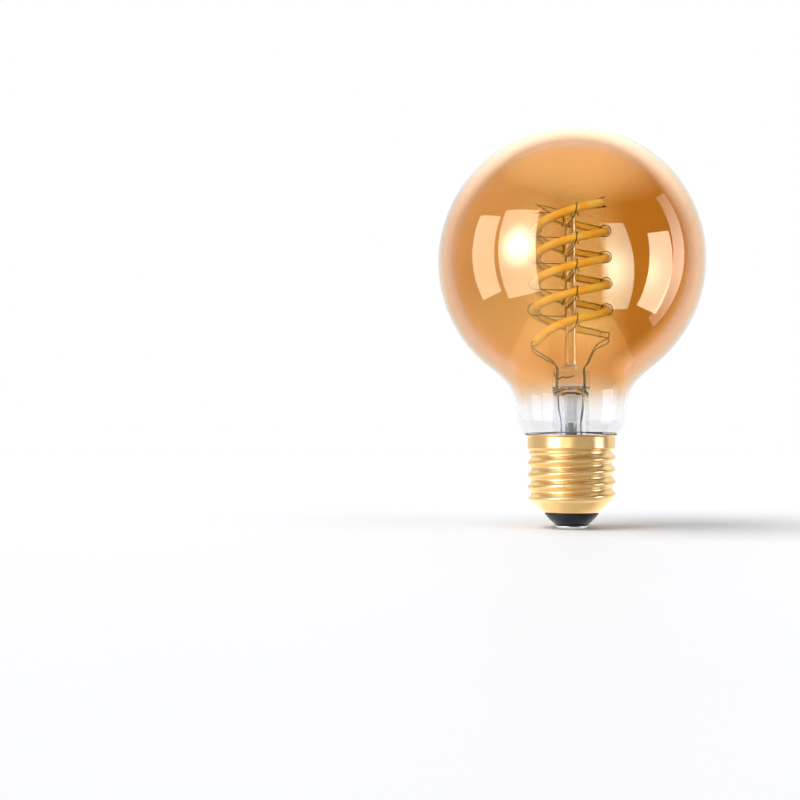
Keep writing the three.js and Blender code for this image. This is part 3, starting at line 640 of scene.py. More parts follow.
class Finishes:
    """Every finish that the remade pieces use, built once."""

    def __init__(self) -> None:
        """Builds the materials."""
        # Each glass's edge colour is painted shade that darkens it towards its outline.
        self.globe = Glass(
            "amber_blown_glass", (0.85, 0.51, 0.125),
            edge=(0.64, 0.67, 0.72), painted_shade_from=0.68, fade=(33.5, 50.5), ior=1.5, ripple=0.03,
        ).build()
        self.film = Coating("gold_vapour_film", (1.0, 0.61, 0.22), 0.16, 0.68, (36.0, 51.0)).build()
        self.stem = Glass(
            "clear_stem_glass", (0.95, 0.96, 0.955),
            edge=(0.62, 0.58, 0.53), painted_shade_from=0.5, ior=1.52, ripple=0.05, coat=0.8,
        ).build()
        self.exhaust = Glass(
            "clear_tube_glass", (0.97, 0.975, 0.97),
            edge=(0.75, 0.74, 0.72), painted_shade_from=0.6, ior=1.3, ripple=0.04,
        ).build()
        self.rod = Glass(
            "clear_rod_glass", (0.99, 0.985, 0.975), edge=(0.3, 0.22, 0.14), painted_shade_from=0.78, ior=1.5, coat=1.0
        ).build()
        self.shell = Metal(
            "satin_gold_sheet", (0.84, 0.56, 0.235), (0.76, 0.47, 0.17), (0.24, 0.36), Grain.TURNED
        ).build()
        self.contact = Metal(
            "nickel_contact", (0.8, 0.76, 0.68), (0.66, 0.62, 0.55), (0.22, 0.4), relief=0.3
        ).build()
        self.insulator = Moulded(
            "black_glazed_insulator", (0.012, 0.014, 0.014), (0.021, 0.023, 0.022), (0.3, 0.5), shine=0.2
        ).build()
        self.cement = Moulded(
            "grey_cement", (0.88, 0.88, 0.86), (0.68, 0.68, 0.66), (0.7, 0.95), 900.0, 0.6
        ).build()
        self.silicone = Moulded(
            "phosphor_silicone", (1.0, 0.84, 0.4), (0.95, 0.59, 0.08), (0.24, 0.4), 190.0, 0.05, 0.5, 0.1
        ).build()
        self.carrier = Moulded(
            "carrier_film", (1.0, 0.74, 0.22), (0.86, 0.56, 0.13), (0.3, 0.5), 700.0, 0.2
        ).build()
        self.chips = Metal(
            "chip_pads", (0.1, 0.055, 0.02), (0.16, 0.09, 0.035), (0.3, 0.5), metallic=0.4
        ).build()
        self.hook_wire = Metal(
            "dark_hook_wire", (0.05, 0.035, 0.025), (0.03, 0.02, 0.015), (0.25, 0.4), Grain.DRAWN
        ).build()
        self.lead_wire = Metal(
            "nickel_lead_wire", (0.13, 0.095, 0.07), (0.05, 0.036, 0.028), (0.22, 0.38), Grain.DRAWN
        ).build()
        self.terminal = Metal("terminal_strip", (0.12, 0.09, 0.065), (0.06, 0.042, 0.03), (0.25, 0.4)).build()


# ---- Glass envelope ----


@dataclass(frozen=True)
class Envelope:
    """The globe, neck and shoulder in one wall of glass, with a gold film on its outside."""

    globe_radius: float = 40.0
    globe_centre: float = 80.0
    wall: float = 0.9
    blend_angle: float = 39.0
    cap_height: float = 27.6
    seat_radius: float = 11.0
    seat_end: float = 19.2
    waist: tuple[float, float] = (16.6, 36.1)
    shoulder: tuple[float, float] = (16.2, 32.4)
    over_rim: tuple[float, float] = (14.05, 28.02)
    film_gap: float = 0.02
    film_thickness: float = 0.03
    film_base: float = 34.0

    def outline(self) -> Line:
        """Draws the outer line.

        Returns:
            Points from the neck's end, up to the crown on the axis.
        """
        blend = math.radians(self.blend_angle)
        join_r = self.globe_radius * math.sin(blend)
        join_z = self.globe_centre - self.globe_radius * math.cos(blend)
        neck = join_z - self.cap_height
        pull = 0.16 * self.globe_radius
        throat = self.cap_height - 1.4
        rim, seat = self.over_rim, self.seat_radius
        line = [(seat, z) for z in np.linspace(self.seat_end, throat, 6)[:-1]]
        line += bezier([(seat, throat), (seat, throat + 1.3), (rim[0] - 1.5, rim[1] - 0.9), rim], 14)[:-1]
        s = self.shoulder
        line += bezier([rim, (rim[0] + 0.9, rim[1] + 1.2), (s[0] - 0.1, s[1] - 1.6), s], 12)[:-1]
        w = self.waist
        line += bezier([s, (s[0] + 0.04, s[1] + 0.8), (w[0] - 0.1, w[1] - 1.6), w], 8)[:-1]
        before = (join_r - pull * math.cos(blend), join_z - pull * math.sin(blend))
        line += bezier([w, (w[0] + 0.3, w[1] + 0.3 * neck), before, (join_r, join_z)], 24)[:-1]
        for angle in np.linspace(blend, math.pi, 84):
            height = self.globe_centre - self.globe_radius * math.cos(angle)
            line.append((self.globe_radius * math.sin(angle), height))
        line[-1] = (0.0, line[-1][1])
        return line

    def _shell(self, outer: Line, wall: float) -> MeshData:
        """Makes a closed wall between a line and the same line moved inwards.

        Args:
            outer: The outer line, which ends on the axis.
            wall: The wall's thickness.

        Returns:
            The vertices and the faces.
        """
        inner = offset_line(outer, wall)
        inner[-1] = (0.0, outer[-1][1] - wall)
        line = inner[::-1] + outer
        return spin(line)

    def build(self, finishes: Finishes) -> list[Piece]:
        """Makes the glass and the film.

        Args:
            finishes: The bulb's finishes.

        Returns:
            Both pieces.
        """
        outer = self.outline()
        glass = make_piece("globe_and_neck_glass", *self._shell(outer, self.wall), finishes.globe)
        over = self.film_gap + self.film_thickness
        skin = [(r, z) for r, z in offset_line(outer, -over) if z > self.film_base]
        skin[-1] = (0.0, self.globe_centre + self.globe_radius + over)
        film = make_piece("gold_film", *self._shell(skin, self.film_thickness), finishes.film)
        dress(glass, "amber_glass", "glass_envelope")
        dress(film, "amber_glass")
        return [glass, film]


def dress(piece: Piece, slot: str, *nodes: str) -> None:
    """Hangs a finished piece on the root body and hides the model's nodes that it stands for.

    Args:
        piece: The piece, in place.
        slot: The record's material slot that it belongs to. It is not used.
        *nodes: The model's nodes that it stands for.
    """
    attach(piece, "root")
    if nodes:
        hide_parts(*nodes)
    log.info("%s: %d faces for %s", piece.name, len(piece.data.polygons), ", ".join(nodes) or "no node")


def make_and_dress(plan: Sequence[tuple[str, MeshData, bpy.types.Material, str, str]]) -> list[Piece]:
    """Makes one piece for each row of a plan and hangs it on the root body.

    Args:
        plan: Rows of a piece's name, its mesh, its finish, its slot and the node that it stands for.

    Returns:
        The pieces.
    """
    made = []
    for name, mesh, finish, slot, node in plan:
        piece = make_piece(name, *mesh, finish)
        dress(piece, slot, node)
        made.append(piece)
    return made


# ---- Screw cap ----


@dataclass(frozen=True)
class ScrewCap:
    """The threaded shell, black insulator, centre contact and the cement at the rim."""

    height: float = 27.6
    thread_radius: float = 13.1
    thread_depth: float = 1.05
    pitch: float = 3.629
    wall: float = 0.3
    collar_radius: float = 13.05
    collar_base: float = 23.4
    lip_flare: float = 0.9
    lip_height: float = 0.6
    base_radius: float = 8.0
    base_height: float = 4.4
    cone_top: float = 8.3
    seat_radius: float = 11.0

    def plain_radius(self, z: np.ndarray) -> np.ndarray:
        """Finds the outer radius without the thread.

        Args:
            z: Heights.

        Returns:
            The radius at each.
        """
        root = self.thread_radius - self.thread_depth
        share = np.clip((z - self.base_height) / (self.cone_top - self.base_height), 0, 1) ** 0.85
        cone = self.base_radius + (root - self.base_radius) * share
        collar = smoothstep(z, self.collar_base - 0.6, self.collar_base + 0.4)
        lip = smoothstep(z, self.height - self.lip_height, self.height - 0.08)
        return cone + (self.collar_radius - root) * collar + self.lip_flare * lip

    def rise(self, z: np.ndarray, turns: np.ndarray) -> np.ndarray:
        """Finds how far the right-hand thread stands out.

        Args:
            z: Heights.
            turns: Angles round the axis, in turns.

        Returns:
            The rise at each.
        """
        phase = (z - self.cone_top) / self.pitch - turns + 0.5
        crest = 0.5 + 0.5 * np.cos(2 * np.pi * phase)
        start = smoothstep(z, self.cone_top - 0.9, self.cone_top + 0.5)
        end = 1 - smoothstep(z, self.collar_base - 1.6, self.collar_base + 0.2)
        return self.thread_depth * crest * start * end

    def shell(self) -> MeshData:
        """Makes the threaded shell.

        Returns:
            Its vertices and faces: an outer and an inner skin joined at both rims.
        """
        z = np.concatenate([
            np.linspace(self.base_height, self.cone_top - 1, 8)[:-1],
            np.linspace(self.cone_top - 1, self.collar_base + 0.5, 104)[:-1],
            np.linspace(self.collar_base + 0.5, self.height - self.lip_height - 0.1, 6)[:-1],
            np.linspace(self.height - self.lip_height - 0.1, self.height, 12),
        ])
        turns = np.arange(ROUND) / ROUND
        angle = 2 * np.pi * turns
        rings = []
        for inset, heights in ((0.0, z), (self.wall, z[::-1])):
            for h in heights:
                r = self.plain_radius(h) + self.rise(h, turns) - inset
                rings.append(np.stack([r * np.cos(angle), r * np.sin(angle), np.full(ROUND, h)], 1))
        return skin_rings(rings, None, None, joined=True)

    def insulator(self) -> MeshData:
        """Makes the black cone between the shell and the contact, with a small step and rounded edges.

        Returns:
            Its vertices and faces.
        """
        r, z = self.base_radius, self.base_height
        foot_radius, foot, bulge = 5.14, 1.05, 0.22
        line = [(1.1, 0.66), (4.75, 0.66), (4.95, 0.7), (5.1, 0.85), (foot_radius, foot)]
        for t in np.linspace(0.1, 1, 10):
            out = foot_radius + (r - foot_radius) * t + bulge * math.sin(math.pi * t)
            line.append((out, foot + (z - 0.35 - foot) * t))
        line += [(r + 0.02, z - 0.2), (r - 0.05, z - 0.06), (r - 0.45, z - 0.05), (r - 0.45, z + 0.6)]
        line += [(r - 1.6, z + 1.1), (1.1, z + 1.1)]
        return spin(line, joined=True)

    def contact(self) -> MeshData:
        """Makes the domed contact, its rolled rim and the pin behind it.

        Returns:
            Its vertices and faces.
        """
        line = [(0.0, 0.0), (1.2, 0.0), (2.6, 0.0), (3.6, 0.0), (3.95, 0.03), (4.25, 0.1), (4.5, 0.22)]
        line += [(4.66, 0.38), (4.7, 0.5), (4.62, 0.6), (4.2, 0.62), (0.9, 0.62), (0.9, 5.7)]
        line += [(0.75, 5.8), (0.0, 5.8)]
        return spin(line, 96)

    def cement(self) -> MeshData:
        """Makes a thin uneven ring of cement that shows between the rim and the glass.

        Returns:
            Its vertices and faces.
        """
        angle = np.arange(ROUND) * 2 * math.pi / ROUND
        wave = 0.06 * np.sin(3 * angle + 0.6) + 0.04 * np.sin(7 * angle) + 0.03 * np.sin(17 * angle + 1.1)
        section = (
            (11.15, 23.9, 0), (12.6, 23.9, 0), (12.6, 27.0, 0), (13.15, 27.55, 0.6),
            (13.0, 27.72, 1), (12.4, 27.3, 0.6), (11.15, 25.9, 0),
        )
        rings = []
        for r, z, share in section:
            height = z + wave * share
            rings.append(np.stack([r * np.cos(angle), r * np.sin(angle), height], 1))
        return skin_rings(rings, None, None, joined=True)

    def build(self, finishes: Finishes) -> list[Piece]:
        """Makes the four pieces.

        Args:
            finishes: The bulb's finishes.

        Returns:
            The pieces.
        """
        plan = (
            ("threaded_gold_shell", self.shell(), finishes.shell, "gold_shell", "screw_shell"),
            ("glazed_insulator", self.insulator(), finishes.insulator, "black_insulator", "cap_insulator"),
            ("domed_contact", self.contact(), finishes.contact, "contact_metal", "centre_contact"),
            ("rim_cement", self.cement(), finishes.cement, "cement", "basing_cement"),
        )
        return make_and_dress(plan)


# ---- Glass mount ----


@dataclass(frozen=True)
class GlassMount:
    """The flare, the pinched press with its rod, and the exhaust tube inside."""

    flare_base: float = 18.1
    flare_radius: float = 10.85
    flare_height: float = 9.5
    tube_radius: float = 5.4
    tube_wall: float = 0.8
    press_top: float = 47.96
    press_length: float = 9.5
    press_half: tuple[float, float] = (5.65, 1.9)
    rod_radius: float = 1.75
    rod_top: float = 94.84

    def half_widths(self, z: float) -> tuple[float, float, float]:
        """Measures the stem at a height.

        Args:
            z: The height.

        Returns:
            Half of its width along X and along Y, and how square its section is.
        """
        flare = 1 - min(max((z - self.flare_base) / self.flare_height, 0), 1)
        round_r = self.tube_radius + (self.flare_radius - self.tube_radius) * flare**2.4
        base = self.press_top - self.press_length
        pinch = float(smoothstep(z, base, base + 0.5 * self.press_length))
        x = round_r + (self.press_half[0] - self.tube_radius) * pinch
        y = round_r + (self.press_half[1] - self.tube_radius) * pinch
        return x, y, 2 + 1.6 * pinch

    @staticmethod
    def oval(x: float, y: float, z: float, power: float, sides: int = 72) -> np.ndarray:
        """Makes a level ring between an ellipse and a rounded box.

        Args:
            x: Half of its width along X.
            y: Half of its width along Y.
            z: Its height.
            power: 2 for an ellipse, more for a box.
            sides: Number of its points.

        Returns:
            The points.
        """
        angle = np.arange(sides) * 2 * math.pi / sides
        c, s = np.cos(angle), np.sin(angle)
        return np.stack([
            x * np.sign(c) * np.abs(c) ** (2 / power),
            y * np.sign(s) * np.abs(s) ** (2 / power),
            np.full(sides, z),
        ], 1)

    def stem(self) -> MeshData:
        """Makes the flare and press: the cavity from its dome down, then the outside up to the press's top.

        Returns:
            Its vertices and faces.
        """
        dome_base = self.press_top - self.press_length + 1
        dome_height = 2.9
        edge = 0.7
        rings = []
        for share in (0.985, 0.95, 0.88, 0.78, 0.64, 0.48, 0.3, 0.15):
            z = dome_base + share * dome_height
            x, y, _ = self.half_widths(z)
            dome = math.sqrt(1 - share**2)
            rings.append(self.oval((x - self.tube_wall) * dome, (y - self.tube_wall) * dome, z, 2))
        for z in np.linspace(dome_base, self.flare_base, 40):
            x, y, _ = self.half_widths(z)
            rings.append(self.oval(x - self.tube_wall, y - self.tube_wall, z, 2))
        for z in np.linspace(self.flare_base, self.press_top - edge, 64):
            x, y, power = self.half_widths(z)
            rings.append(self.oval(x, y, z, power))
        x, y, power = self.half_widths(self.press_top)
        for angle in np.radians(np.linspace(15, 90, 6)):
            cut = edge * (1 - math.cos(angle))
            height = self.press_top - edge + edge * math.sin(angle)
            rings.append(self.oval(x - cut, y - cut, height, power))
        rings.append(self.oval(x * 0.45, y * 0.4, self.press_top + 0.1, 2))
        top = (0.0, 0.0, self.press_top + 0.12)
        return skin_rings(rings, (0.0, 0.0, dome_base + dome_height), top)

    def exhaust(self) -> MeshData:
        """Makes the exhaust tube: bell-mouthed under the dome, melted shut to a nib below.

        Returns:
            Its vertices and faces.
        """
        outer = [(0.0, 24.1), (0.45, 24.3), (1.2, 25.2), (1.75, 26.6), (1.8, 28.0)]
        outer += [(1.8, 37.0), (1.95, 38.4), (2.5, 39.6), (3.3, 40.3)]
        inner = [(3.0, 40.5), (2.1, 39.7), (1.4, 38.4), (1.2, 37.0), (1.2, 28.0), (0.9, 27.2), (0.0, 26.9)]
        return spin(outer + inner, 48)

    def rod(self) -> MeshData:
        """Makes the rod, drawn slightly uneven, with a melted foot and a round top.

        Returns:
            Its vertices and faces.
        """
        r, base, crown = self.rod_radius, self.press_top + 0.25, 1.5
        line = [(0.0, base), (r + 0.9, base), (r + 0.75, base + 0.25), (r + 0.35, base + 0.7)]
        line.append((r + 0.1, base + 1.3))
        for z in np.linspace(base + 2, self.rod_top - 1.7, 26):
            line.append((r + 0.05 * math.sin(z * 0.31) + 0.03 * math.sin(z * 0.83 + 1), z))
        for angle in np.radians([10, 25, 40, 55, 70, 82]):
            line.append((r * math.cos(angle), self.rod_top - crown + crown * math.sin(angle)))
        line.append((0.0, self.rod_top))
        return spin(line, 64)

    def build(self, finishes: Finishes) -> list[Piece]:
        """Makes the three pieces.

        Args:
            finishes: The bulb's finishes.

        Returns:
            The pieces.
        """
        plan = (
            ("flare_and_press", self.stem(), finishes.stem, "clear_glass", "stem_flare"),
            ("exhaust_glass", self.exhaust(), finishes.exhaust, "clear_glass", "exhaust_tube"),
            ("hook_rod", self.rod(), finishes.rod, "clear_glass", "support_rod"),
        )
        return make_and_dress(plan)


# ---- Light-emitting strips ----


class Layer(Enum):
    """One layer of a strip: its half width, and its inner and outer face along the outward direction."""

    SILICONE = (1.2, -0.62, 1.2)
    CARRIER = (1.05, -0.98, -0.74)

    @property
    def half_width(self) -> float:
        """Half of its width."""
        return self.value[0]

    @property
    def middle(self) -> float:
        """Half way between its faces."""
        return 0.5 * (self.value[1] + self.value[2])

    @property
    def half_thickness(self) -> float:
        """Half of its thickness."""
        return 0.5 * (self.value[2] - self.value[1])


@dataclass(frozen=True)
class Strip:
    """One light-emitting strip, wound up round the rod."""

    name: str
    start_angle: float
    droop: float
    lift: float
    base: float = 58.57
    radius_bottom: float = 11.2
    radius_top: float = 10.6
    pitch: float = 16.0
    turns: float = 2.33
    droop_angle: float = 75.0
    lift_angle: float = 140.0

    def point(self, sweep: float | np.ndarray) -> np.ndarray:
        """Finds the middle of its section.

        Args:
            sweep: Degrees round the axis from its lower end.

        Returns:
            The point, or one for each sweep.
        """
        sweep = np.asarray(sweep, float)
        full = 360 * self.turns
        radius = self.radius_bottom + (self.radius_top - self.radius_bottom) * sweep / full
        angle = np.radians(self.start_angle + sweep)
        hang = self.droop * np.clip(1 - sweep / self.droop_angle, 0, None) ** 2
        rise = self.lift * np.clip(1 - (full - sweep) / self.lift_angle, 0, None)
        z = self.base + self.pitch * sweep / 360 - hang + rise
        return np.stack([radius * np.cos(angle), radius * np.sin(angle), z], -1)

    def frame_at(self, sweep: float) -> tuple[np.ndarray, np.ndarray, np.ndarray, np.ndarray]:
        """Finds how it lies at one place.

        Args:
            sweep: Degrees round the axis from its lower end.

        Returns:
            The point, and the outward, forward and across directions.
        """
        along = self.point(sweep + 0.5) - self.point(sweep - 0.5)
        along /= np.linalg.norm(along)
        p = self.point(sweep)
        out = np.array([p[0], p[1], 0.0])
        out /= np.linalg.norm(out)
        across = np.cross(out, along)
        across /= np.linalg.norm(across)
        return p, np.cross(along, across), along, across

    def pin(self, upper: bool, side: int) -> np.ndarray:
        """The centre line of one pin, which leaves the carrier and bends outwards.

        Args:
            upper: True for the upper end, where the pins spread further.
            side: -1 for the lower edge of the strip, 1 for the upper edge.

        Returns:
            Its points, from inside the strip to the tip.
        """
        p, out, along, across = self.frame_at(360 * self.turns if upper else 0.0)
        ahead = along if upper else -along
        spread = 1.5 if upper else 0.85
        halfway = 0.5 * (0.65 + spread)
        steps = ((-0.5, -0.86, 0.6), (0.5, -0.84, 0.65), (1.35, -0.2, halfway), (1.9, 0.85, spread))
        return np.array([p + a * ahead + o * out + side * x * across for a, o, x in steps])


class StripTrees:
    """Geometry node trees that sweep a strip's layers and lay its chips along its path."""

    def __init__(self) -> None:
        """Builds both trees."""
        self.sweep = self._sweep_tree()
        self.chips = self._chip_tree()

    @staticmethod
    def _start(name: str, numbers: Sequence[str]) -> tuple[Shade, bpy.types.Node]:
        """A tree with a path geometry, number inputs and a material.

        Args:
            name: The tree's name.
            numbers: Names of its number inputs.

        Returns:
            Its Shade and its input node.
        """
        tree = bpy.data.node_groups.new(name, "GeometryNodeTree")
        tree.interface.new_socket("Path", in_out="INPUT", socket_type="NodeSocketGeometry")
        for label in numbers:
            tree.interface.new_socket(label, in_out="INPUT", socket_type="NodeSocketFloat")
        tree.interface.new_socket("Finish", in_out="INPUT", socket_type="NodeSocketMaterial")
        tree.interface.new_socket("Solid", in_out="OUTPUT", socket_type="NodeSocketGeometry")
        shade = Shade(tree)
        return shade, shade.add("NodeGroupInput")

    @staticmethod
    def _finish(shade: Shade, entry: bpy.types.Node, geometry: Socket) -> bpy.types.NodeTree:
        """Ends a tree in Realize Instances and Set Material.

        Args:
            shade: Adds to the tree.
            entry: Its input node.
            geometry: What it has made.

        Returns:
            The finished tree.
        """
        real = shade.add("GeometryNodeRealizeInstances", in0=geometry).outputs[0]
        painted = shade.add("GeometryNodeSetMaterial", Geometry=real, Material=entry.outputs["Finish"])
        shade.add("NodeGroupOutput", in0=painted.outputs[0])
        return shade.tree

    def _sweep_tree(self) -> bpy.types.NodeTree:
        """Makes the tree that sweeps a rounded band along a path, flat on the side of the axis.

        Returns:
            The tree.
        """
        shade, entry = self._start("StripSweep", ("Half Width", "Inner Face", "Outer Face", "Roundness"))
        curve = shade.add("GeometryNodeMeshToCurve", in0=entry.outputs["Path"])
        upright = shade.add("GeometryNodeSetCurveNormal", in0=curve.outputs[0])
        upright.mode = "Z_UP"
        circle = shade.add("GeometryNodeCurvePrimitiveCircle", Resolution=28, Radius=1.0)
        at = shade.add("ShaderNodeSeparateXYZ", in0=shade.add("GeometryNodeInputPosition").outputs[0])
        full = shade.math("POWER", shade.math("ABSOLUTE", at.outputs[0]), entry.outputs["Roundness"])
        out = shade.product(shade.math("SIGN", at.outputs[0]), full, entry.outputs["Outer Face"])
        depth = shade.math("MAXIMUM", out, entry.outputs["Inner Face"])
        wide = shade.product(at.outputs[1], entry.outputs["Half Width"])
        place = shade.add("ShaderNodeCombineXYZ", in0=depth, in1=wide)
        section = shade.add("GeometryNodeSetPosition", Geometry=circle.outputs[0], Position=place.outputs[0])
        swept = shade.add("GeometryNodeCurveToMesh")
        shade.link(upright.outputs[0], swept.inputs["Curve"])
        shade.link(section.outputs[0], swept.inputs["Profile Curve"])
        swept.inputs["Fill Caps"].default_value = True
        smooth = shade.add("GeometryNodeSetShadeSmooth", in0=swept.outputs[0])
        return self._finish(shade, entry, smooth.outputs[0])

    def _chip_tree(self) -> bpy.types.NodeTree:
        """Makes the tree that lays small pads along a path, each turned to face along it.

        Returns:
            The tree.
        """
        shade, entry = self._start("ChipRow", ("Spacing", "Length", "Width", "Thickness"))
        curve = shade.add("GeometryNodeMeshToCurve", in0=entry.outputs["Path"])
        upright = shade.add("GeometryNodeSetCurveNormal", in0=curve.outputs[0])
        upright.mode = "Z_UP"
        points = shade.add("GeometryNodeCurveToPoints", {"mode": "LENGTH"}, Curve=upright.outputs[0])
        shade.link(entry.outputs["Spacing"], points.inputs["Length"])
        size = shade.add(
            "ShaderNodeCombineXYZ",
            in0=entry.outputs["Thickness"], in1=entry.outputs["Width"], in2=entry.outputs["Length"],
        )
        pad = shade.add("GeometryNodeMeshCube", Size=size.outputs[0])
        places = points.outputs["Points"]
        rows = shade.add("GeometryNodeInstanceOnPoints", Points=places, Instance=pad.outputs[0])
        shade.link(points.outputs["Rotation"], rows.inputs["Rotation"])
        return self._finish(shade, entry, rows.outputs[0])


def grow(
    name: str, path: np.ndarray, tree: bpy.types.NodeTree, finish: bpy.types.Material, **numbers: float
) -> Piece:
    """Runs a geometry tree on a path and keeps the result as a plain mesh.

    Args:
        name: The piece's name.
        path: The path's points, in millimetres.
        tree: The geometry node tree.
        finish: The material that the tree sets.
        **numbers: Its number inputs, with _ for a space. All but Roundness are in millimetres.

    Returns:
        The linked object, with no modifier.
    """
    mesh = bpy.data.meshes.new(name + "_path")
    mesh.from_pydata((path * MM).tolist(), [(i, i + 1) for i in range(len(path) - 1)], [])
    source = bpy.data.objects.new(name, mesh)
    bpy.context.scene.collection.objects.link(source)
    modifier = source.modifiers.new("Grow", "NODES")
    modifier.node_group = tree
    for item in tree.interface.items_tree:
        if item.in_out != "INPUT" or item.socket_type == "NodeSocketGeometry":
            continue
        if item.socket_type == "NodeSocketMaterial":
            modifier[item.identifier] = finish
        else:
            value = numbers[item.name.replace(" ", "_")]
            modifier[item.identifier] = value if item.name == "Roundness" else value * MM
    evaluated = source.evaluated_get(bpy.context.evaluated_depsgraph_get())
    result = bpy.data.meshes.new_from_object(evaluated)
    result.name = name
    source.modifiers.remove(modifier)
    source.data = result
    bpy.data.meshes.remove(mesh)
    return source


@dataclass(frozen=True)
class StripPair:
    """The two strips, their carriers, chip rows and terminals."""

    chip_spacing: float = 0.62
    chip_side: float = 0.36
    chip_thickness: float = 0.1
    row_offset: float = 0.86
    row_depth: float = 1.0
    spans: int = 260
    pin_radius: float = 0.18

    @staticmethod
    def strips() -> tuple[Strip, Strip]:
        """Both strips, half a turn apart. Only the first hangs down at its lower end."""
        return Strip("a", 209.0, 2.6, 1.0), Strip("b", 29.0, 0.0, 1.3)

    def build(self, finishes: Finishes) -> list[Piece]:
        """Makes every piece of both strips.

        Args:
            finishes: The bulb's finishes.

        Returns:
            The pieces.
        """
        trees = StripTrees()
        made = []
        for strip in self.strips():
            made += self._layers(strip, trees, finishes)
            made += self._terminals(strip, finishes)
        return made

    def _layers(self, strip: Strip, trees: StripTrees, finishes: Finishes) -> list[Piece]:
        """Makes a strip's silicone, its carrier and its two rows of chips.

        Args:
            strip: The strip.
            trees: The trees that make them.
            finishes: The bulb's finishes.

        Returns:
            The pieces.
        """
        sweeps = np.linspace(0, 360 * strip.turns, self.spans)
        width, inner, outer = Layer.SILICONE.value
        silicone = grow(
            f"spiral_{strip.name}_silicone", strip.point(sweeps), trees.sweep, finishes.silicone,
            Half_Width=width, Inner_Face=inner, Outer_Face=outer, Roundness=0.9,
        )
        dress(silicone, "phosphor_silicone", f"filament_{strip.name}_silicone")
        frames = [strip.frame_at(sweep) for sweep in sweeps]
        back = np.array([p + Layer.CARRIER.middle * out for p, out, _, _ in frames])
        half = Layer.CARRIER.half_thickness
        carrier = grow(
            f"spiral_{strip.name}_carrier", back, trees.sweep, finishes.carrier,
            Half_Width=Layer.CARRIER.half_width, Inner_Face=-half, Outer_Face=half, Roundness=0.15,
        )
        dress(carrier, "carrier_film", f"filament_{strip.name}_carrier")
        made = [silicone, carrier]
        for row, side in (("lower", -1), ("upper", 1)):
            shift = side * self.row_offset
            edge = np.array([p - self.row_depth * out + shift * across for p, out, _, across in frames])
            chips = grow(
                f"spiral_{strip.name}_{row}_chips", edge, trees.chips, finishes.chips,
                Spacing=self.chip_spacing, Length=self.chip_side,
                Width=self.chip_side, Thickness=self.chip_thickness,
            )
            dress(chips, "carrier_film")
            made.append(chips)
        return made

    def _terminals(self, strip: Strip, finishes: Finishes) -> list[Piece]:
        """Makes the metal pins that stand out of a strip's ends and spread apart, two at each.

        Args:
            strip: The strip.
            finishes: The bulb's finishes.

        Returns:
            The four pins.
        """
        made = []
        for end, upper in (("lower", False), ("upper", True)):
            for row, side in (("warm", -1), ("cool", 1)):
                path = smooth_path([tuple(p) for p in strip.pin(upper, side)], 5)
                share = np.linspace(0, 1, len(path))
                weld = 0.05 * np.exp(-(((share - 0.93) / 0.06) ** 2))
                radius = self.pin_radius - 0.04 * share + weld
                piece = make_piece(f"pin_{strip.name}_{end}_{row}", *tube(path, radius, 8), finishes.terminal)
                dress(piece, "terminal_metal", f"filament_{strip.name}_{end}_{row}_terminal")
                made.append(piece)
        return made


# ---- Hooks ----


class HookForm(Enum):
    """How a hook reaches its strip."""

    SIDE = "level wire under the strip, round the outside and over the top"
    CROSS = "rising wire over the strip's face, back over the top and down behind it"


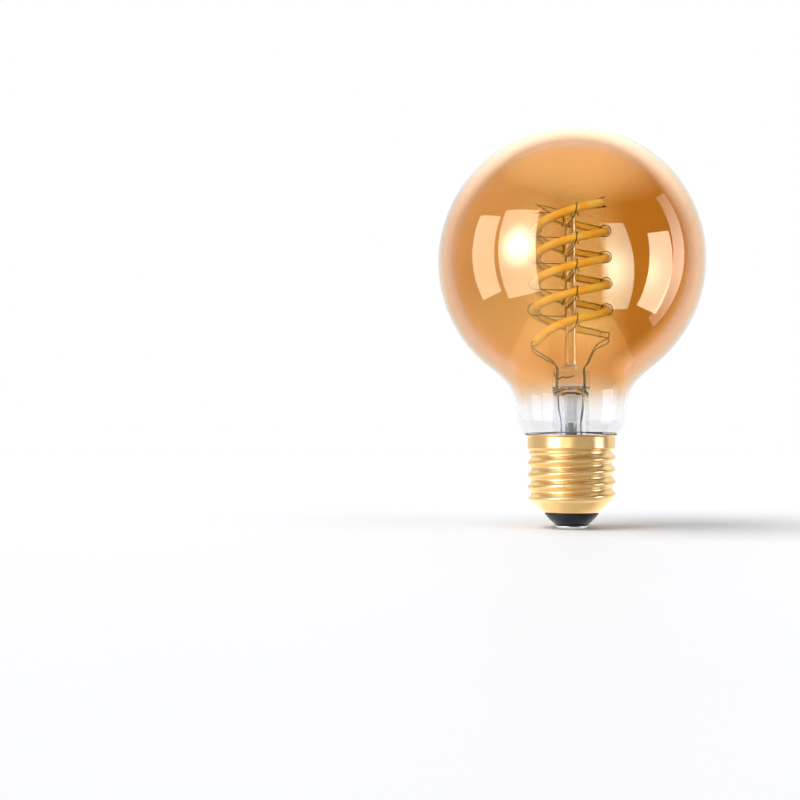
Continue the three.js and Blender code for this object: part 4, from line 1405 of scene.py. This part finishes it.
@dataclass(frozen=True)
class HookSet:
    """The thin wires that hold both strips to the rod."""

    wire_radius: float = 0.145
    loop_radius: float = 1.78
    rod_radius: float = 1.75
    turn: float = 10.0

    def path(self, form: HookForm, reach: float, bend: float) -> np.ndarray:
        """One hook's centre line.

        Args:
            form: How it reaches the strip.
            reach: From the axis to the strip's middle.
            bend: A small number that makes each hook a little different.

        Returns:
            Points of (outward, sideways, up), from the rod.
        """
        r = self.loop_radius
        root = self.rod_radius - 0.2
        if form is HookForm.SIDE:
            points = [(root, -0.5, -r - 0.25 + 0.1 * bend), (reach * 0.5, -0.45, -r - 0.2)]
            for k, angle in enumerate(np.radians(np.arange(-85, 215, 18))):
                side = -0.4 + 0.055 * k
                points.append((reach + r * math.cos(angle), side, r * math.sin(angle)))
        else:
            points = [(root, -1.1, -3.2 + 0.2 * bend), (reach * 0.45, -0.9, -2.9), (reach * 0.8, -0.5, -2.5)]
            for k, angle in enumerate(np.radians(np.arange(-48, 200, 18))):
                side = -0.35 + 0.06 * k
                points.append((reach + 0.1 + r * math.cos(angle), side, 0.95 * r * math.sin(angle)))
            points.append((reach - r - 0.1, 0.75, -1.1))
            points.append((reach - r + 0.2, 0.95, -1.9 - 0.15 * bend))
        return smooth_path(points, 4)

    @staticmethod
    def crossings(strips: Sequence[Strip], angle: float) -> list[np.ndarray]:
        """Finds where the strips pass one side of the rod.

        Args:
            strips: Both strips.
            angle: The side's angle round the axis, in degrees.

        Returns:
            The middle of a strip's section at each pass, from the lowest up.
        """
        found = []
        for strip in strips:
            sweep = (angle - strip.start_angle) % 360
            while sweep <= 360 * strip.turns:
                found.append(strip.point(sweep))
                sweep += 360
        return sorted(found, key=lambda p: p[2])

    def build(self, strips: Sequence[Strip], finishes: Finishes) -> list[Piece]:
        """Makes the hooks of all four sides.

        Args:
            strips: Both strips.
            finishes: The bulb's finishes.

        Returns:
            One piece for each hook.
        """
        made = []
        sides = (
            ("right", HookForm.SIDE, 0),
            ("back", HookForm.CROSS, 1),
            ("left", HookForm.SIDE, 0),
            ("front", HookForm.CROSS, 0),
        )
        for quarter, (side, form, free) in enumerate(sides):
            passes = self.crossings(strips, self.turn + 90 * quarter)
            for i, p in enumerate(passes[free:], 1):
                reach = float(np.hypot(p[0], p[1]))
                line = self.path(form, reach, math.sin(5.1 * i + quarter))
                out = np.array([p[0], p[1], 0.0]) / reach
                sideways = np.array([-out[1], out[0], 0.0])
                up = np.array([0.0, 0.0, 1.0])
                world = line[:, :1] * out + line[:, 1:2] * sideways + (line[:, 2:] + p[2]) * up
                piece = make_piece(f"hook_{side}_{i}", *tube(world, self.wire_radius, 8), finishes.hook_wire)
                dress(piece, "hook_wire", f"support_hook_{side}_{i}")
                made.append(piece)
        return made


# ---- Lead and bridge wires ----


@dataclass(frozen=True)
class Wiring:
    """The leads from the strips' lower ends into the press, and the wires that join the upper ends."""

    lead_radius: float = 0.18
    bridge_radius: float = 0.15
    tail_radius: float = 0.22
    bridge_height: float = 95.9
    press_top: float = 47.96

    def leads(self, strips: Sequence[Strip], finishes: Finishes) -> list[Piece]:
        """Makes the four leads.

        Args:
            strips: Both strips.
            finishes: The bulb's finishes.

        Returns:
            The leads.
        """
        made = []
        for strip, side in zip(strips, (-1, 1)):
            for row, shift, place in (("warm", -0.65, -0.5), ("cool", 0.65, 0.5)):
                tip = strip.pin(False, 1 if shift > 0 else -1)[-1]
                y = -side * place * 1.2
                x = side * (4.0 + 0.35 * place)
                points = [
                    tuple(tip),
                    tuple(tip + np.array([0.1 * side, -0.3 * side, -1.3])),
                    (side * (7.6 + 0.4 * place), tip[1] * 0.55 + y, tip[2] - 3.9 - 0.3 * place),
                    (side * 5.2, y * 1.3, self.press_top + 2.0 + 0.5 * place),
                    (x, y, self.press_top + 0.35),
                    (x, y, self.press_top - 2.6),
                    (x * 0.98, y, self.press_top - 7.5),
                    (x * 0.9, y + 0.3 * side, 36.0),
                    (side * 2.9, y, 30.0),
                    (side * 4.0, y, 22.0),
                    (side * 4.0, y, 17.95),
                ]
                wire = tube(smooth_path(points, 7), self.lead_radius, 10)
                piece = make_piece(f"lead_{strip.name}_{row}", *wire, finishes.lead_wire)
                dress(piece, "lead_wire", f"lead_wire_{strip.name}_{row}")
                made.append(piece)
        return made

    def tail(self, finishes: Finishes) -> list[Piece]:
        """Makes the bent end of a lead that was squashed into the press.

        Args:
            finishes: The bulb's finishes.

        Returns:
            The piece.
        """
        z = self.press_top
        points = [(-5.0, -1.0, z - 0.7), (-4.3, -1.25, z - 2.6), (-3.6, -1.3, z - 2.9)]
        points += [(-2.4, -1.2, z - 2.2), (-1.2, -1.3, z - 2.5), (0.9, -1.2, z - 1.9)]
        tail = tube(smooth_path(points, 6), self.tail_radius, 8)
        piece = make_piece("tail_in_press", *tail, finishes.terminal)
        dress(piece, "lead_wire")
        return [piece]

    def bridges(self, strips: Sequence[Strip], finishes: Finishes) -> list[Piece]:
        """Makes the two bridge wires over the rod's top.

        Args:
            strips: Both strips.
            finishes: The bulb's finishes.

        Returns:
            The bridge wires.
        """
        made = []
        for row, shift in (("warm", -0.65), ("cool", 0.65)):
            start, end = (strip.pin(True, 1 if shift > 0 else -1)[-1] for strip in strips)
            middle = np.array([-1.2, 0.4 + 0.3 * shift, self.bridge_height + 0.35 * shift])
            points = [start, start * 0.62 + middle * 0.38, middle, end * 0.6 + middle * 0.4, end]
            path = smooth_path([tuple(p) for p in points], 9)
            piece = make_piece(f"bridge_{row}", *tube(path, self.bridge_radius, 8), finishes.lead_wire)
            dress(piece, "lead_wire", f"bridge_wire_{row}")
            made.append(piece)
        return made

    def build(self, strips: Sequence[Strip], finishes: Finishes) -> list[Piece]:
        """Makes every wire."""
        return self.leads(strips, finishes) + self.bridges(strips, finishes) + self.tail(finishes)


# ---- Driver in the cap ----


class Driver:
    """The driver's parts in the cap, which keep the model's shapes."""

    FINISHES = (
        Moulded("white_solder_mask", (0.8, 0.81, 0.8), (0.7, 0.71, 0.7), (0.3, 0.45), 500.0, 0.3, 0.3),
        Moulded("black_package", (0.018, 0.018, 0.02), (0.03, 0.03, 0.032), (0.4, 0.6), 1200.0, 0.3),
        Metal("tinned_can", (0.74, 0.75, 0.77), (0.6, 0.61, 0.63), (0.22, 0.4)),
        Moulded("sintered_ferrite", (0.07, 0.072, 0.08), (0.12, 0.12, 0.13), (0.55, 0.8), 900.0, 0.5),
        Metal("enamelled_copper", (0.75, 0.33, 0.14), (0.6, 0.24, 0.09), (0.2, 0.35), Grain.TURNED, 0.8),
        Moulded("blue_lacquer", (0.14, 0.3, 0.5), (0.1, 0.22, 0.4), (0.25, 0.4), 600.0),
        Moulded("red_sleeve", (0.6, 0.05, 0.03), (0.5, 0.03, 0.02), (0.4, 0.55), 500.0),
        Moulded("white_heatproof", (0.85, 0.84, 0.8), (0.76, 0.74, 0.7), (0.45, 0.6), 400.0),
    )
    FINISH_OF = {
        "driver_board": "white_solder_mask",
        "radio_antenna": "white_solder_mask",
        "bulk_capacitor": "tinned_can",
        "radio_module": "tinned_can",
        "inductor_core": "sintered_ferrite",
        "inductor_winding": "enamelled_copper",
        "bridge_rectifier": "black_package",
        "warm_channel_switch": "black_package",
        "cool_channel_switch": "black_package",
        "fusible_resistor": "blue_lacquer",
        "live_wire": "red_sleeve",
        "neutral_wire": "white_heatproof",
        "insulating_liner": "white_heatproof",
    }

    def build(self) -> None:
        """Gives each part its finish."""
        built = {finish.name: finish.build() for finish in self.FINISHES}
        for node, finish in self.FINISH_OF.items():
            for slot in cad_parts[node].material_slots:
                slot.material = built[finish]
            log.info("%s: %s", node, finish)


# ---- Studio ----


WHITE: Colour = (1.0, 1.0, 1.0)
COOL: Colour = (0.86, 1.05, 1.7)
GLINT: Colour = (0.8, 1.2, 3.0)


class Reach(Enum):
    """Which pieces a lamp shines on."""

    EVERYTHING = "the bulb and the floor"
    ALL = "every piece"
    NOT_SHELL = "every piece but the cap's shell"
    SHELL = "the cap's shell"
    INSIDE = "the strips, hooks and wires"
    ROD = "the rod"
    PRESS = "the flare and press"

    def pieces(self, bulb: Sequence[Piece], inside: Sequence[Piece]) -> list[Piece]:
        """Picks the pieces.

        Args:
            bulb: Every piece of the bulb.
            inside: The strips, hooks and wires.

        Returns:
            Those that the lamp shines on.
        """
        if self is Reach.INSIDE:
            return list(inside)
        if self is Reach.ALL:
            return list(bulb)
        shell = "threaded_gold_shell"
        if self is Reach.NOT_SHELL:
            return [piece for piece in bulb if piece.name != shell]
        wanted = {Reach.SHELL: shell, Reach.ROD: "hook_rod", Reach.PRESS: "flare_and_press"}
        return [piece for piece in bulb if piece.name == wanted[self]]


@dataclass(frozen=True)
class Softbox:
    """A soft lamp: where it stands round the globe, its size in metres and its brightness.

    A hot spot is a place on its face, and a size in metres, where it is brighter.
    """

    name: str
    azimuth: float
    elevation: float
    width: float
    height: float
    radiance: float
    reach: Reach = Reach.ALL
    roll: float = 0.0
    hot: float = 0.0
    hot_at: tuple[float, float] = (0.5, 0.5)
    hot_size: float = 0.06
    distance: float = 0.6
    lights: bool = True
    mirrored: bool = True
    colour: Colour = COOL

    def build(self) -> Piece:
        """Makes the lamp, aimed at the globe's middle.

        Returns:
            The lamp.
        """
        lamp = bpy.data.lights.new(self.name, "AREA")
        lamp.shape, lamp.size, lamp.size_y = "RECTANGLE", self.width, self.height
        lamp.energy = self.radiance * math.pi * self.width * self.height
        lamp.color = self.colour
        if self.hot:
            self._add_hot_spot(lamp)
        holder = bpy.data.objects.new(self.name, lamp)
        a, e = math.radians(self.azimuth), math.radians(self.elevation)
        away = Vector((math.sin(a) * math.cos(e), -math.cos(a) * math.cos(e), math.sin(e)))
        holder.location = Vector((0, 0, 0.08)) + away * self.distance
        facing = (-away).to_track_quat("-Z", "Y") @ Quaternion((0, 0, 1), math.radians(self.roll))
        holder.rotation_euler = facing.to_euler()
        holder.visible_camera = holder.visible_transmission = False
        holder.visible_diffuse, holder.visible_glossy = self.lights, self.mirrored
        bpy.context.scene.collection.objects.link(holder)
        return holder

    def _add_hot_spot(self, lamp: bpy.types.Light) -> None:
        """Makes the lamp brighter round one point of its face.

        Args:
            lamp: The lamp.
        """
        lamp.use_nodes = True
        shade = Shade(lamp.node_tree)
        at = shade.add("ShaderNodeNewGeometry").outputs["Parametric"]
        offset = shade.add("ShaderNodeVectorMath", {"operation": "SUBTRACT"}, in0=at)
        offset.inputs[1].default_value = (*self.hot_at, 0.0)
        metres = shade.add("ShaderNodeVectorMath", {"operation": "MULTIPLY"}, in0=offset.outputs[0])
        metres.inputs[1].default_value = (self.width, self.height, 0.0)
        gap = shade.add("ShaderNodeVectorMath", {"operation": "LENGTH"}, in0=metres.outputs[0])
        share = shade.math("DIVIDE", gap.outputs["Value"], self.hot_size)
        near = shade.math("EXPONENT", shade.product(share, share, -0.5))
        level = shade.math("MULTIPLY_ADD", near, self.hot, 1.0)
        shade.link(level, shade.tree.nodes["Emission"].inputs["Strength"])


@dataclass(frozen=True)
class FloorBoard:
    """A bright board at floor level, under and behind the bulb, which pieces only mirror.

    Sizes are in metres, and so is how far its middle stands behind the bulb's axis.
    """

    name: str
    radiance: float
    reach: Reach
    width: float = 0.106
    length: float = 0.4
    middle_behind: float = 0.135

    def build(self) -> Piece:
        """Makes the board.

        Returns:
            The lamp.
        """
        board = bpy.data.lights.new(self.name, "AREA")
        board.shape, board.size, board.size_y = "RECTANGLE", self.width, self.length
        board.energy = self.radiance * math.pi * self.width * self.length
        holder = bpy.data.objects.new(self.name, board)
        holder.location = (0.0, self.middle_behind, -0.001)
        holder.rotation_euler = (math.pi, 0.0, 0.0)
        holder.visible_camera = holder.visible_transmission = holder.visible_diffuse = False
        bpy.context.scene.collection.objects.link(holder)
        return holder


@dataclass(frozen=True)
class SoftSun:
    """A wide sun that lights the floor and the bulb and isn't mirrored."""

    name: str
    power: float
    way: Point
    width: float = 48.0
    reach: Reach = Reach.EVERYTHING

    def build(self) -> Piece:
        """Makes the sun.

        Returns:
            The lamp.
        """
        sun = bpy.data.lights.new(self.name, "SUN")
        sun.energy, sun.angle = self.power, math.radians(self.width)
        holder = bpy.data.objects.new(self.name, sun)
        holder.rotation_euler = Vector(self.way).to_track_quat("-Z", "Y").to_euler()
        holder.visible_glossy = holder.visible_transmission = holder.visible_camera = False
        bpy.context.scene.collection.objects.link(holder)
        return holder


@dataclass(frozen=True)
class BackPanel:
    """A soft panel close behind the globe, seen only through its glass. Sizes are in metres.

    Its narrow spread makes it brighter by the spread gain, which its power makes up for.
    """

    name: str
    width: float
    height: float
    place: Point
    colour: Colour
    spread: float = 70.0
    spread_gain: float = 6.07
    reach: Reach = Reach.EVERYTHING

    def level(self, shade: Shade, face: Socket, u: Socket, v: Socket) -> Socket:
        """Draws how bright the panel is over its face.

        Args:
            shade: Adds to the lamp's tree.
            face: The place on the lamp's face.
            u: From 0 at the left to 1 at the right.
            v: From 0 at the bottom to 1 at the top.

        Returns:
            The brightness.
        """
        raise NotImplementedError

    def build(self) -> Piece:
        """Makes the panel.

        Returns:
            The lamp.
        """
        lamp = bpy.data.lights.new(self.name, "AREA")
        lamp.shape, lamp.size, lamp.size_y = "RECTANGLE", self.width, self.height
        lamp.spread = math.radians(self.spread)
        lamp.energy = math.pi * self.width * self.height / self.spread_gain
        lamp.use_nodes = True
        shade = Shade(lamp.node_tree)
        face = shade.add("ShaderNodeNewGeometry").outputs["Parametric"]
        u, v = shade.add("ShaderNodeSeparateXYZ", in0=face).outputs[:2]
        glow = shade.tree.nodes["Emission"]
        shade.link(self.level(shade, face, shade.math("SUBTRACT", 1.0, u), v), glow.inputs["Strength"])
        glow.inputs["Color"].default_value = (*self.colour, 1.0)
        holder = bpy.data.objects.new(self.name, lamp)
        holder.location = self.place
        holder.rotation_euler = (math.radians(90), 0.0, math.pi)
        holder.visible_camera = holder.visible_diffuse = holder.visible_glossy = False
        bpy.context.scene.collection.objects.link(holder)
        return holder


@dataclass(frozen=True)
class BackGlow(BackPanel):
    """A panel with a hot spot, a ragged soft left edge and a curved right one.

    The hot spot's size is in metres. Every other place is a share of the panel's width or height.
    """

    hot: float = 1.6
    hot_at: tuple[float, float] = (0.45, 0.47)
    hot_size: tuple[float, float] = (0.0045, 0.0055)
    left_fade: tuple[float, float] = (0.12, 0.34)
    raggedness: float = 0.35
    right_edge: float = 0.97
    curve: float = 0.9
    curve_at: float = 0.45

    def level(self, shade: Shade, face: Socket, u: Socket, v: Socket) -> Socket:
        """Draws the hot spot between the two edges.

        Args:
            shade: Adds to the lamp's tree.
            face: The place on the lamp's face.
            u: From 0 at the left to 1 at the right.
            v: From 0 at the bottom to 1 at the top.

        Returns:
            The brightness.
        """
        side = shade.product(shade.math("SUBTRACT", u, self.hot_at[0]), self.width / self.hot_size[0])
        up = shade.product(shade.math("SUBTRACT", v, self.hot_at[1]), self.height / self.hot_size[1])
        gap = shade.math("ADD", shade.product(side, side), shade.product(up, up))
        spot = shade.product(shade.math("EXPONENT", shade.product(gap, -0.5)), self.hot)
        from_middle = shade.math("SUBTRACT", v, self.curve_at)
        bulge = shade.product(from_middle, from_middle, self.curve)
        right = shade.math("LESS_THAN", shade.math("ADD", u, bulge), self.right_edge)
        ragged = shade.add("ShaderNodeTexNoise", in0=face, Scale=4.0, Detail=2.0).outputs[0]
        waver = shade.product(shade.math("SUBTRACT", ragged, 0.5), self.raggedness)
        left = shade.step(shade.math("ADD", u, waver), *self.left_fade)
        return shade.product(shade.math("ADD", spot, 1.0), right, left)


@dataclass(frozen=True)
class BackWash(BackPanel):
    """A wide panel that fades out at every edge and is brighter towards the right."""

    least: float = 0.4
    more_at_right: float = 1.75

    def level(self, shade: Shade, face: Socket, u: Socket, v: Socket) -> Socket:
        """Draws the fading edges and the slope.

        Args:
            shade: Adds to the lamp's tree.
            face: The place on the lamp's face.
            u: From 0 at the left to 1 at the right.
            v: From 0 at the bottom to 1 at the top.

        Returns:
            The brightness.
        """
        across = shade.product(shade.step(u, 0.0, 0.3), shade.step(u, 1.0, 0.5))
        up = shade.product(shade.step(v, 0.0, 0.28), shade.step(v, 1.0, 0.6))
        slope = shade.math("MULTIPLY_ADD", shade.product(u, u), self.more_at_right, self.least)
        return shade.product(across, up, slope)


Lamp = Softbox | FloorBoard | SoftSun | BackPanel


@dataclass(frozen=True)
class Room:
    """A white room that mirrors darker towards the camera's side, so that the glass shows its shape.

    The numbers are how bright its parts are in a mirror. The fill is its light on matt pieces.
    """

    fill: float = 0.15
    overhead: float = 1.35
    back_wall: float = 1.15
    back_crown: float = 1.15
    left_wall: float = 0.74
    underneath: float = 0.35
    darkest: float = 0.05

    def mirrored(self, shade: Shade) -> Socket:
        """Draws what mirrors see.

        Args:
            shade: Adds to the world's tree.

        Returns:
            The brightness.
        """
        way = shade.add("ShaderNodeTexCoord").outputs["Generated"]
        x, y, z = shade.add("ShaderNodeSeparateXYZ", in0=way).outputs
        crown = shade.math("MULTIPLY_ADD", shade.step(z, 0.3, 0.8), self.back_crown, self.back_wall)
        low = shade.math("MULTIPLY_ADD", shade.step(z, -0.6, -0.1), -0.3, 1.3)
        parts = (
            shade.product(shade.step(y, 0.12, 0.7), crown),
            shade.product(shade.step(z, 0.55, 1.0), self.overhead),
            shade.product(shade.step(x, 0.02, -0.5), low, self.left_wall),
            shade.product(shade.step(z, -0.7, -0.95), self.underneath),
        )
        level: float | Socket = self.darkest
        for part in parts:
            level = shade.math("MAXIMUM", part, level)
        return level

    def build(self) -> None:
        """Makes the world."""
        world = bpy.data.worlds.new("room")
        world.use_nodes = True
        shade = Shade(world.node_tree)
        background = shade.tree.nodes["Background"]
        level = self.mirrored(shade)
        ways = shade.add("ShaderNodeLightPath").outputs
        number = {"data_type": "FLOAT"}
        soft = shade.add("ShaderNodeMix", number, in0=ways["Is Diffuse Ray"], in2=1.0, in3=self.fill)
        seen = shade.add("ShaderNodeMix", number, in0=ways["Is Glossy Ray"], in2=soft.outputs[0], in3=level)
        shade.link(seen.outputs[0], background.inputs["Strength"])
        background.inputs["Color"].default_value = (*WHITE, 1.0)
        bpy.context.scene.world = world


@dataclass(frozen=True)
class Studio:
    """The floor, the room, the lamps and the camera. Distances are in metres."""

    camera_distance: float = 0.350
    camera_height: float = 0.0247
    lens: float = 51.64
    turned_left: float = 8.475
    tilted_up: float = 2.246
    floor_half: float = 4.0
    lamps: tuple[Lamp, ...] = (
        Softbox("left_softbox", -43.5, 2.0, 0.35, 0.77, 1.7, hot=5.0, hot_at=(0.56, 0.57), hot_size=0.085),
        Softbox("far_left_softbox", -75.5, 3.0, 0.25, 0.6, 1.9, Reach.NOT_SHELL, lights=False),
        Softbox(
            "right_band", 98.0, 0.0, 0.155, 0.9, 0.5, Reach.NOT_SHELL, hot=3.0, hot_size=0.2, lights=False
        ),
        BackGlow("back_glow", 0.0145, 0.0315, (0.0162, 0.06, 0.0878), (0.9, 2.6, 33.0)),
        BackWash("back_wash", 0.044, 0.082, (0.0005, 0.061, 0.0875), (0.8, 1.8, 12.0)),
        Softbox("far_right_softbox", 79.0, -9.0, 0.26, 0.56, 2.6, Reach.ALL, 5.5, 0.6, (0.1, 0.5), 0.09),
        SoftSun("key_light", 2.74, (0.5, 0.28, -0.95)),
        SoftSun("counter_key", 0.56, (-0.6, 0.3, -0.95)),
        FloorBoard("globe_board", 0.22, Reach.NOT_SHELL),
        Softbox("cap_fill", 28.0, -2.0, 0.7, 0.6, 0.6, Reach.SHELL, colour=WHITE),
        Softbox("cap_edge", 112.0, 0.0, 0.22, 0.5, 0.4, Reach.SHELL, colour=WHITE),
        Softbox("cap_shoulder", -10.0, 0.0, 0.2, 0.5, 1.7, Reach.SHELL, colour=WHITE),
        FloorBoard("cap_board", 0.5, Reach.SHELL),
        Softbox("inside_fill", 8.0, 12.0, 0.4, 0.4, 14.0, Reach.INSIDE, mirrored=False, colour=WHITE),
        Softbox("rod_glint_right", 92.0, 4.0, 0.09, 0.7, 320.0, Reach.ROD, distance=0.5, colour=GLINT),
        Softbox("rod_glint_left", -62.0, 4.0, 0.06, 0.7, 160.0, Reach.ROD, distance=0.5, colour=GLINT),
        Softbox("press_glint_right", 92.0, 4.0, 0.09, 0.7, 22.0, Reach.PRESS, distance=0.5, colour=WHITE),
        Softbox("press_glint_left", -70.0, 4.0, 0.06, 0.7, 14.0, Reach.PRESS, distance=0.5, colour=WHITE),
    )

    def floor(self) -> None:
        """Makes a wide pale floor. Mirrors see the room and a bright board in its place."""
        material, shade, body = blank_material("pale_floor")
        body.inputs["Roughness"].default_value = 0.6
        body.inputs["Specular IOR Level"].default_value = 0.1
        patches = effect(shade, EFFECTS.mottle, Scale=9.0, Detail=2.0, Low=0.0, High=1.0)
        pale = mix_colours(shade, patches, (0.915, 0.92, 0.935), (0.905, 0.91, 0.93))
        shade.link(pale, body.inputs["Base Color"])
        mesh = bpy.data.meshes.new("floor")
        s = self.floor_half
        mesh.from_pydata([(-s, -s, 0), (s, -s, 0), (s, s, 0), (-s, s, 0)], [], [(0, 1, 2, 3)])
        mesh.materials.append(material)
        floor = bpy.data.objects.new("floor", mesh)
        floor.location.z = -0.0002
        floor.visible_glossy = False
        bpy.context.scene.collection.objects.link(floor)

    def light(self, bulb: Sequence[Piece], inside: Sequence[Piece]) -> None:
        """Makes every lamp and aims it.

        Args:
            bulb: Every piece of the bulb.
            inside: The strips, hooks and wires.
        """
        reached: dict[Reach, bpy.types.Collection] = {}
        for lamp in self.lamps:
            holder = lamp.build()
            if lamp.reach is Reach.EVERYTHING:
                continue
            if lamp.reach not in reached:
                reached[lamp.reach] = bpy.data.collections.new("reached_by_" + lamp.name)
                for piece in lamp.reach.pieces(bulb, inside):
                    reached[lamp.reach].objects.link(piece)
            holder.light_linking.receiver_collection = reached[lamp.reach]

    def camera(self) -> None:
        """Sets up the camera, low in front, with the bulb right of the middle."""
        data = bpy.data.cameras.new("camera")
        data.lens = self.lens
        data.sensor_width = 36.0
        data.clip_start = 0.01
        holder = bpy.data.objects.new("camera", data)
        holder.location = (0.0, -self.camera_distance, self.camera_height)
        holder.rotation_euler = (math.radians(90 + self.tilted_up), 0.0, math.radians(self.turned_left))
        bpy.context.scene.collection.objects.link(holder)
        bpy.context.scene.camera = holder

    def build(self, bulb: Sequence[Piece], inside: Sequence[Piece]) -> None:
        """Sets the scene up.

        Args:
            bulb: Every piece of the bulb.
            inside: The strips, hooks and wires.
        """
        self.camera()
        self.floor()
        Room().build()
        self.light(bulb, inside)
        view = bpy.context.scene.view_settings
        view.view_transform = "Standard"
        view.look = "None"


def main() -> None:
    """Builds the bulb and its studio."""
    logging.basicConfig(level=logging.INFO, format="%(message)s")
    finishes = Finishes()
    strips = StripPair.strips()
    outside = Envelope().build(finishes) + ScrewCap().build(finishes) + GlassMount().build(finishes)
    inside = StripPair().build(finishes)
    inside += HookSet().build(strips, finishes)
    inside += Wiring().build(strips, finishes)
    Driver().build()
    Studio().build(outside + inside, inside)


if __name__ == "__main__":
    main()
